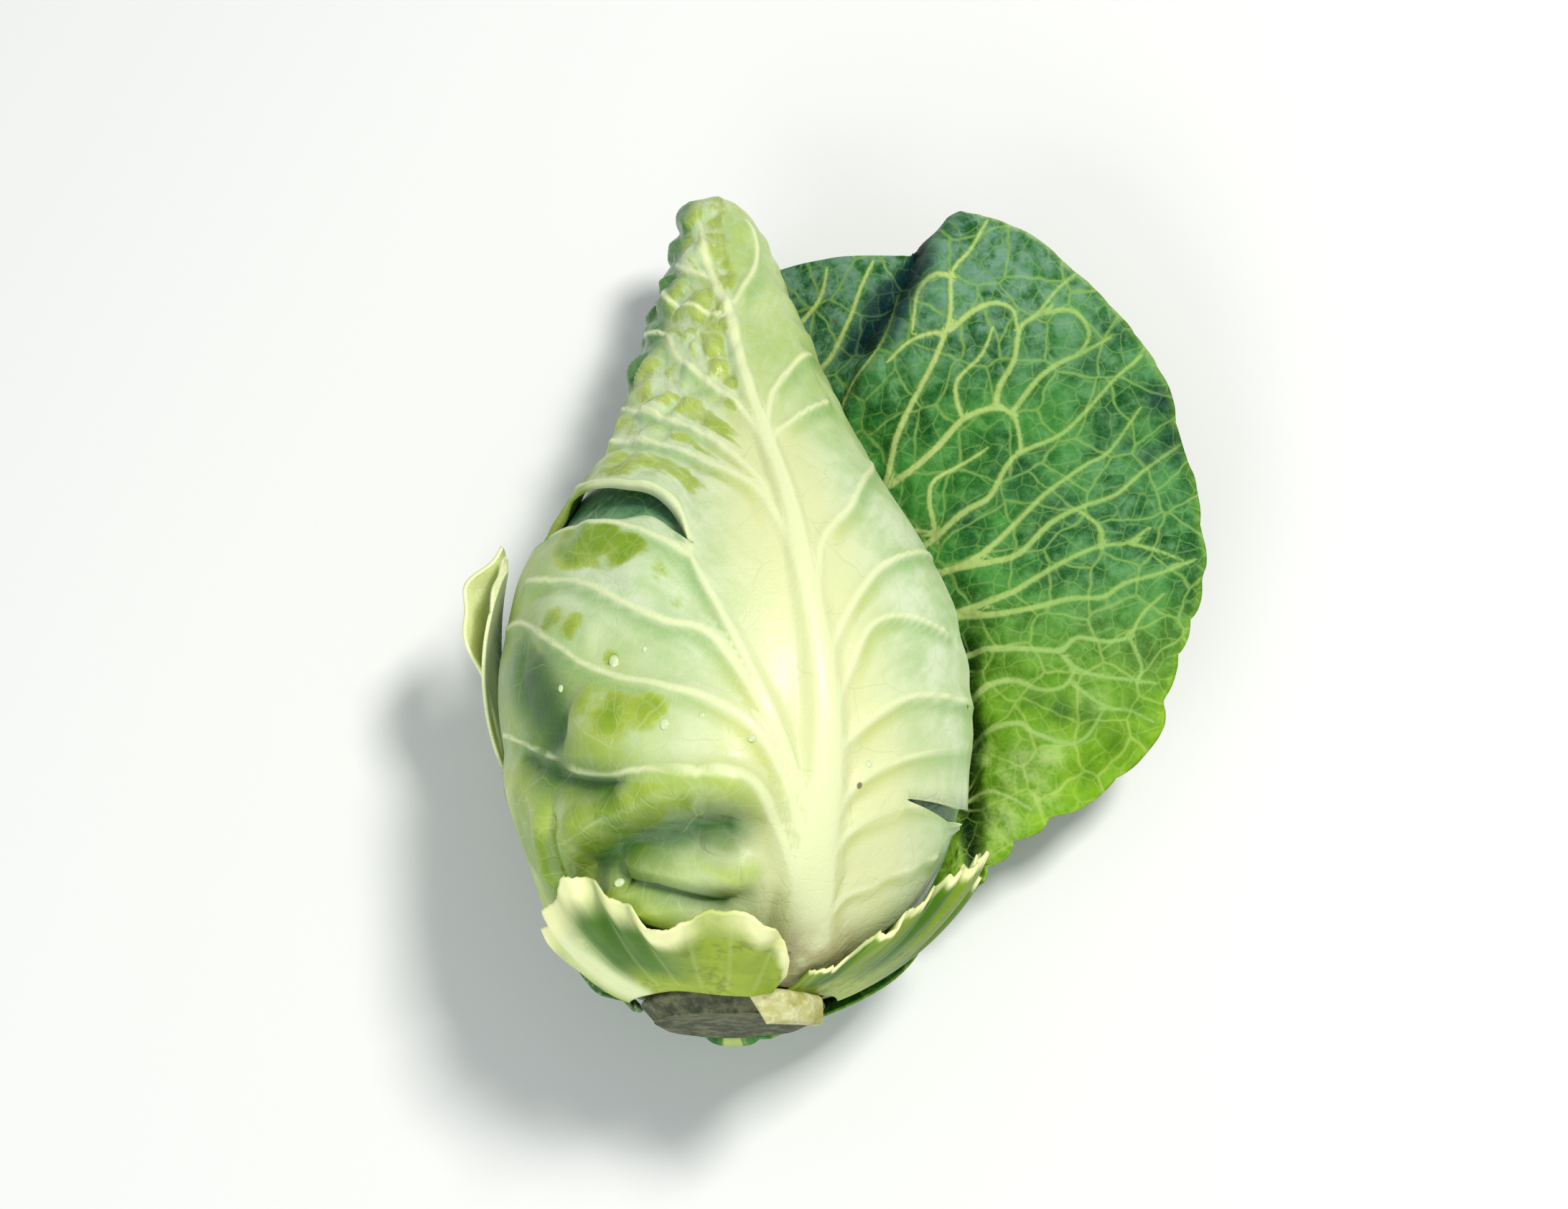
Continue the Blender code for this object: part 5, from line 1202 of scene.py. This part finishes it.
# %% The small curled leaf
CURL_LINES = [
    # left margin, its belly, keel, right side, right fold, inner margin
    [(-30, -72.5, 46), (-43, -58, 40), (-53, -38, 37), (-64.5, -14, 38), (-66.5, -4, 45),
     (-69, 8, 52), (-73, 19, 60), (-76.5, 31, 65), (-74, 42, 63), (-66.5, 52, 60)],
    [(-29.6, -73, 44), (-42.6, -58.5, 37.5), (-52.6, -38, 34), (-65, -14, 34), (-66.5, -3, 39),
     (-68.5, 9, 44), (-71, 20, 49), (-73, 32, 54), (-71.5, 42, 54), (-66.4, 51.4, 57)],
    [(-28.6, -73.2, 42), (-41.4, -58.8, 35), (-51.4, -38.2, 31), (-65, -14, 31), (-66, -3, 35),
     (-67, 10, 39), (-68, 22, 43), (-69, 33, 47), (-69, 42, 49), (-66.2, 50.4, 55)],
    [(-27, -73, 41), (-39.4, -58.4, 35), (-49.6, -38, 32), (-63.4, -14, 32), (-64, -3, 37),
     (-64.8, 10, 42), (-65.4, 22, 48), (-66, 33, 53), (-66.2, 42, 54), (-65.6, 49.6, 55)],
    [(-26.6, -72.6, 43), (-39, -58, 38), (-49.4, -38, 35), (-62.6, -14, 37), (-62.8, -3, 44),
     (-63.2, 9, 52), (-63.4, 20, 62), (-63.6, 31, 68), (-63.8, 40, 66), (-64.8, 49, 58)],
    [(-27.8, -72.3, 45), (-40.6, -57.8, 40), (-50.8, -37.8, 38), (-63.4, -14, 41), (-64.6, -4, 48),
     (-65.4, 8, 56), (-66.4, 19, 67), (-67.2, 29, 73), (-66.6, 38, 71), (-65.4, 48, 61)],
]
STEM_END, STEM_RADIUS, STEM_COLLAR = -79.5, 20.0, 23.6
CLEAR = 5.0                        # the room it keeps from the head


def make_curled():
    cols, rows = 72, 130
    lines = np.array(CURL_LINES, float)
    u, v = np.linspace(0, len(lines) - 1, cols + 1), np.linspace(0, lines.shape[1] - 1, rows + 1)
    by_row = np.stack([[smooth(v, np.arange(lines.shape[1]), line[:, c]) for c in range(3)]
                       for line in lines])
    pts = np.empty((cols + 1, rows + 1, 3))
    for j in range(rows + 1):
        for c in range(3):
            pts[:, j, c] = smooth(u, np.arange(len(lines)), by_row[:, c, j])
    uu, vv = np.meshgrid(u / u[-1], v / v[-1], indexing="ij")
    pts[..., 0] -= 0.9 * np.sin(vv * 38) * step(uu, 0.35, 0.0) * step(vv, 0.5, 0.7)
    pts[..., 2] += 0.7 * np.sin(vv * 45) * step(np.abs(uu - 0.5), 0.35, 0.5) * step(vv, 0.5, 0.7)
    # stay clear of the head
    y = pts[..., 1]
    centre = np.stack(axis_at(y), -1)
    reach = pts[..., [0, 2]] - centre
    far = np.linalg.norm(reach, axis=-1, keepdims=True)
    dip = FLANK_DIP * 0.8 * np.exp(-((y + 40) / 24) ** 2)
    slant = 1 / np.maximum(np.interp(run_at(y), FINE, OUT_R), 0.45)
    clear = np.interp(run_at(y), FINE, FINE_R) - dip + CLEAR * (1 + (slant - 1) * step(y, -72, -66))
    least = (np.maximum(clear, STEM_COLLAR + 1.6) + 2.2 * step(y, -14, 8))[..., None]
    pts[..., [0, 2]] = centre + reach * np.maximum(far, least) / far
    keel = 1.6 * bump(np.abs(uu - 0.4) * 10, 1.6)
    flat = np.stack([uu * 40, vv * 140, np.zeros_like(uu)], -1)
    ribs = []
    for k in range(9):
        for turn in (-1, 1):
            y_0 = 62 + 8 * k + 3 * turn
            path = [(16, y_0), (16 + turn * 8, y_0 + 7), (16 + turn * 20, y_0 + 15)]
            ribs.append((path, 1.6, 0.4, 1.2, 0.2))
    _high, marks = veined(flat, flat[..., :2], lambda s, t: np.stack([s, t, np.zeros_like(s)], -1),
                          [(16, 0, 2.4, 1.0), (16, 140, 1.4, 0.5)], ribs)
    # painted shadow along the leaf, where its inner fold shades the outer lobe; darker toward the stem as
    # well
    marks["dark"] = np.clip(bump(uu - 0.55, 0.13) + step(vv, 0.5, 0.34), 0, 1)
    return leaf("curled_side_leaf", pts, 1.0 + keel * (1 - 0.6 * vv), flat, marks, CURL)


dressed(make_curled(), "curled_leaf")

# %% [markdown]
# Round the stem stand the bases of leaves that were broken off, with torn uneven margins, then the cut
# stem itself and the white stump of one thick stalk.

# %% The leaf bases


def base_leaf(name, node, span, top, base, off, flare, green, pale, thick, seed, ragged=0.9,
              lip_from=0.7):
    """a broken leaf base from the stem out to an uneven top margin, standing off the head; its
    margins, its distance off the head, its flare and its tones are lines over the angle"""
    cols = 140
    u, v = shares(cols, 44)
    phi = span[0] + (span[1] - span[0]) * u
    rng = np.random.default_rng(seed)
    torn = np.convolve(rng.uniform(-1, 1, cols + 9), np.ones(3) / 3, "same")[4:-4][:, None]
    first = run_at(smooth(phi, *base))
    last = run_at(smooth(phi, *top)) + ragged * torn
    run = first + (last - first) * v
    coarse = rng.uniform(-0.5, 0.5, 24)
    coarse_share = np.interp(u, np.linspace(0, 1, 24), coarse)
    crumple = 3.2 * smooth(u, np.linspace(0, 1, 24), coarse) * step(v, 0.3, 1)
    lift = smooth(phi, *flare) * v ** 2.2
    pts = on_head(phi, run, smooth(phi, *off) + np.maximum(lift + crumple, 0), 1.0)
    flat = on_head(phi, run, 0.0)
    ribs = [([(p, -69), (p + rng.uniform(-3, 4), -40)], 1.2, 0.3, 0.8, 0.2)
            for p in np.arange(span[0] + 4, span[1], 13.0)]
    _high, marks = veined(flat, np.stack([phi, flat[..., 1]], -1), lambda p, y: on_head(p, run_at(y), 0.0),
                          [(span[0] - 40, -70, 1, 0.5), (span[0] - 40, -60, 1, 0.5)], ribs)
    rim = step(v, 1.0, 0.86)
    marks["green"], marks["pale"] = smooth(phi, *green) * step(v, 0.05, 0.4), smooth(phi, *pale)
    marks["lip"] = np.clip(step(v, lip_from, 0.97) * (0.9 + 1.2 * coarse_share), 0, 1)
    piece = leaf(name, pts, thick * (0.55 + 0.45 * rim), flat, marks, LEAF_BASE)
    return dressed(piece, node)


base_leaf("left_leaf_base", "base_leaf_left", (-94, 24),
          top=([-94, -64, -52, -44, -40, -34, -28, -22, -13, -4, 4, 12, 19, 24],
               [-52, -51, -48.5, -45.5, -46.5, -50, -53, -56, -55.5, -53.5, -54, -56.5, -61, -66]),
          base=([-94, -60, -20, 24], [-69.6, -70.2, -70.2, -70.2]),
          off=([-94, -60, -30, 0, 24], [2.9, 2.9, 3.4, 5.4, 5.6]),
          flare=([-94, -70, -47, -30, -13, 4, 24], [1.0, 3.0, 6.5, 5.5, 9.0, 9.0, 3.0]),
          # the dark green band in the middle is painted shadow, cast by the raised rim
          green=([-94, -74, -58, -47, -40, -30, -20, -10, 24], [0.3, 0, 0.1, 1, 1, 1, 0.7, 0.3, 0.2]),
          pale=([-94, -70, -56, -46, 24], [0, 1, 1, 0.1, 0]), thick=1.3, seed=3)
base_leaf("right_leaf_base", "base_leaf_right", (36, 96),
          top=([36, 48, 56, 62, 70, 76, 84, 90, 96], [-66.5, -62, -54, -49, -42, -39, -34, -34, -40]),
          base=([36, 96], [-70, -69]), off=([36, 60, 80, 96], [4.4, 3.6, 2.8, 2.8]),
          flare=([36, 50, 70, 84, 96], [1.0, 1.5, 2.2, 4.0, 4.0]),
          green=([36, 48, 58, 68, 78, 96], [0.5, 1, 0.5, 1, 0.5, 1]),
          pale=([36, 96], [0.1, 0.0]), thick=1.2, seed=8, ragged=2.0, lip_from=0.9)
base_leaf("lower_leaf_base", "base_leaf_under", (62, 118),
          top=([62, 80, 95, 106, 118], [-67, -61, -56, -56, -62]), base=([62, 118], [-70, -70]),
          off=([62, 118], [0.3, 0.3]), flare=([62, 90, 118], [0.0, 0.4, 0.6]),
          green=([62, 90, 118], [0.2, 0.5, 1]), pale=([62, 118], [0.4, 0.1]), thick=1.2, seed=4)

# %% The cut stem and the white stump


def cut_look(light, mid, dark):
    """grain from mid to light, with dark stains and small dark spots"""
    def look(n, skin):
        grain = n.noise(skin, 2.6, 5.0, 0.65)
        fine = n.noise(skin, 14.0, 4.0, 0.6)
        spots = n.soft(n.cells(skin, 5.0, "F1"), 0.32, 0.2)
        colour = n.mix(n.soft(grain, 0.35, 0.65), mid, light)
        colour = n.mix(n.soft(n.noise(skin, 0.9, 4.0, 0.6), 0.5, 0.7), colour, dark)
        colour = n.mix(spots * 0.3, colour, dark)
        return colour, 0.62 + fine * 0.2, grain * 0.5 + fine * 0.2
    return look


STEM = finish("cut_stem", cut_look((112, 114, 80), (54, 64, 38), (28, 32, 10)), coat=0.0, glow=0.05)
STALK = finish("leaf_stalk", cut_look((222, 220, 172), (188, 186, 116), (150, 146, 52)), coat=0.1)
TURNS = 180                        # columns round the stem
STEM_SHIFT = 1.2                   # it stands a little right of the head's axis


def make_stem():
    """a profile (radius, place along) turned round the head's axis, a little out of round"""
    profile = along([(0.01, STEM_END), (8, STEM_END), (15, STEM_END), (STEM_RADIUS - 0.6, STEM_END),
                     (STEM_RADIUS, STEM_END + 0.7), (STEM_RADIUS + 2.0, STEM_END + 2.6),
                     (STEM_COLLAR, STEM_END + 4.4), (STEM_COLLAR - 1, -73.4), (18.0, -71.6),
                     (16.4, -67.5), (12, -66.4), (0.01, -66.0)], 7)
    a, k = np.meshgrid(np.linspace(0, 2 * math.pi, TURNS + 1), np.arange(len(profile)), indexing="ij")
    r, y = profile[k, 0], profile[k, 1]
    grow = 1 + (0.035 * np.sin(3 * a + 0.5) + 0.02 * np.sin(7 * a)) * step(y, -72.5, -76)
    x, z = axis_at(y)
    pts = np.stack([r * grow * np.cos(a) + x + STEM_SHIFT, y, r * grow * np.sin(a) * 0.98 + z], -1)
    ob, i, j = grid_mesh("cut_stem", pts, STEM)
    keep(ob.data, "skin", pts[i, j] / 10)
    cleaned(ob.data, 0.02, outward=True)
    return smoothed(ob)


def make_stump():
    """a short curved slab against the stem's collar, thinner at its left end"""
    u, v = shares(60, 30)
    phi = 23 + 40 * u - 3 * v - 13 * v * (1 - u)
    y = STEM_END - 3.6 + 9.0 * v + 1.5 * u * (1 - v)
    r = STEM_COLLAR + 1.4 + 0.8 * v * np.sin(math.pi * np.clip(u, 0.05, 0.95))
    a = np.radians(phi)
    x, z = axis_at(y)
    pts = np.stack([x + STEM_SHIFT + r * np.sin(a), y, z + r * np.cos(a)], -1)
    body = (1 - np.abs(2 * u - 1) ** 5) ** 0.5 * (1 - np.abs(2 * v - 1) ** 6) ** 0.5
    body = (2.6 + 1.2 * np.sin(math.pi * u) + 0.35 * np.sin(u * 23)) * body
    body = 0.5 + body * (0.3 + 0.7 * step(u, 0, 0.4))
    return leaf("stalk_stump", pts, body, pts, {"stalk": 1.0}, STALK)


dressed(make_stem(), "stem")
dressed(make_stump(), "cut_petiole")

# %% The heart keeps its solid, in a finish of its own


def heart_look(n, skin):
    place = n.vector("SCALE", n.add("ShaderNodeTexCoord", out=3), scale=100.0)
    cloud = n.noise(place, 0.7, 4.0, 0.6)
    net = n.soft(fine_net(n, place, 8.0), 0.6, 0.12)
    colour = n.mix(cloud, (196, 206, 120), (232, 236, 176))
    return n.mix(net * 0.5, colour, (240, 242, 200)), 0.5 - net * 0.05, cloud * 0.4 - net * 0.1


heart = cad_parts["heart"]
heart.material_slots[0].material = finish("heart_leaves", heart_look)

# %% [markdown]
# The stage is a plain pale floor under soft light that comes from the upper right, and a camera that
# looks down steeply along the head.

# %% Floor, lights and camera
bpy.ops.object.select_all(action="DESELECT")
bpy.ops.mesh.primitive_plane_add(size=6)
floor = bpy.context.object
floor.name = "floor"
paper = bpy.data.materials.new("pale_floor")
paper.use_nodes = True
paper.node_tree.nodes["Principled BSDF"].inputs["Base Color"].default_value = tone(236, 236, 233)
paper.node_tree.nodes["Principled BSDF"].inputs["Roughness"].default_value = 0.8
floor.data.materials.append(paper)


def area_light(name, direction, distance, width, power, colour, aim):
    """a square lamp that looks at aim from a direction"""
    bpy.ops.object.light_add(type="AREA", location=aim + Vector(direction).normalized() * distance)
    lamp = bpy.context.object
    lamp.name = name
    lamp.data.size = width
    lamp.data.energy = power
    lamp.data.color = colour
    lamp.rotation_euler = Vector(direction).to_track_quat("Z", "Y").to_euler()


aim = Vector((0.011, 0.037, 0.055))    # the middle of the picture
area_light("key", (0.36, 0.2, 0.91), distance=1.3, width=0.26, power=14.2,
           colour=(1.0, 0.985, 0.95), aim=aim)
area_light("fill", (-0.5, -0.75, 0.5), distance=1.3, width=0.9, power=8.0,
           colour=(0.97, 0.98, 1.0), aim=aim)
world = bpy.data.worlds.new("studio") if bpy.context.scene.world is None else bpy.context.scene.world
bpy.context.scene.world = world
world.use_nodes = True
sky = world.node_tree.nodes["Background"].inputs
sky["Color"].default_value = (0.86, 0.93, 1.0, 1.0)
sky["Strength"].default_value = 0.34

steep, away = math.radians(72), 0.8     # the camera's angle above the floor and its distance
bpy.ops.object.camera_add(location=aim + away * Vector((0, -math.cos(steep), math.sin(steep))))
camera = bpy.context.object
camera.name = "camera"
camera.rotation_euler = (math.pi / 2 - steep, 0, 0)
camera.data.lens, camera.data.sensor_width, camera.data.sensor_fit = 66.94, 36.0, "HORIZONTAL"
camera.data.clip_start, camera.data.clip_end = 0.01, 20
bpy.context.scene.camera = camera
bpy.context.scene.view_settings.view_transform = "Standard"
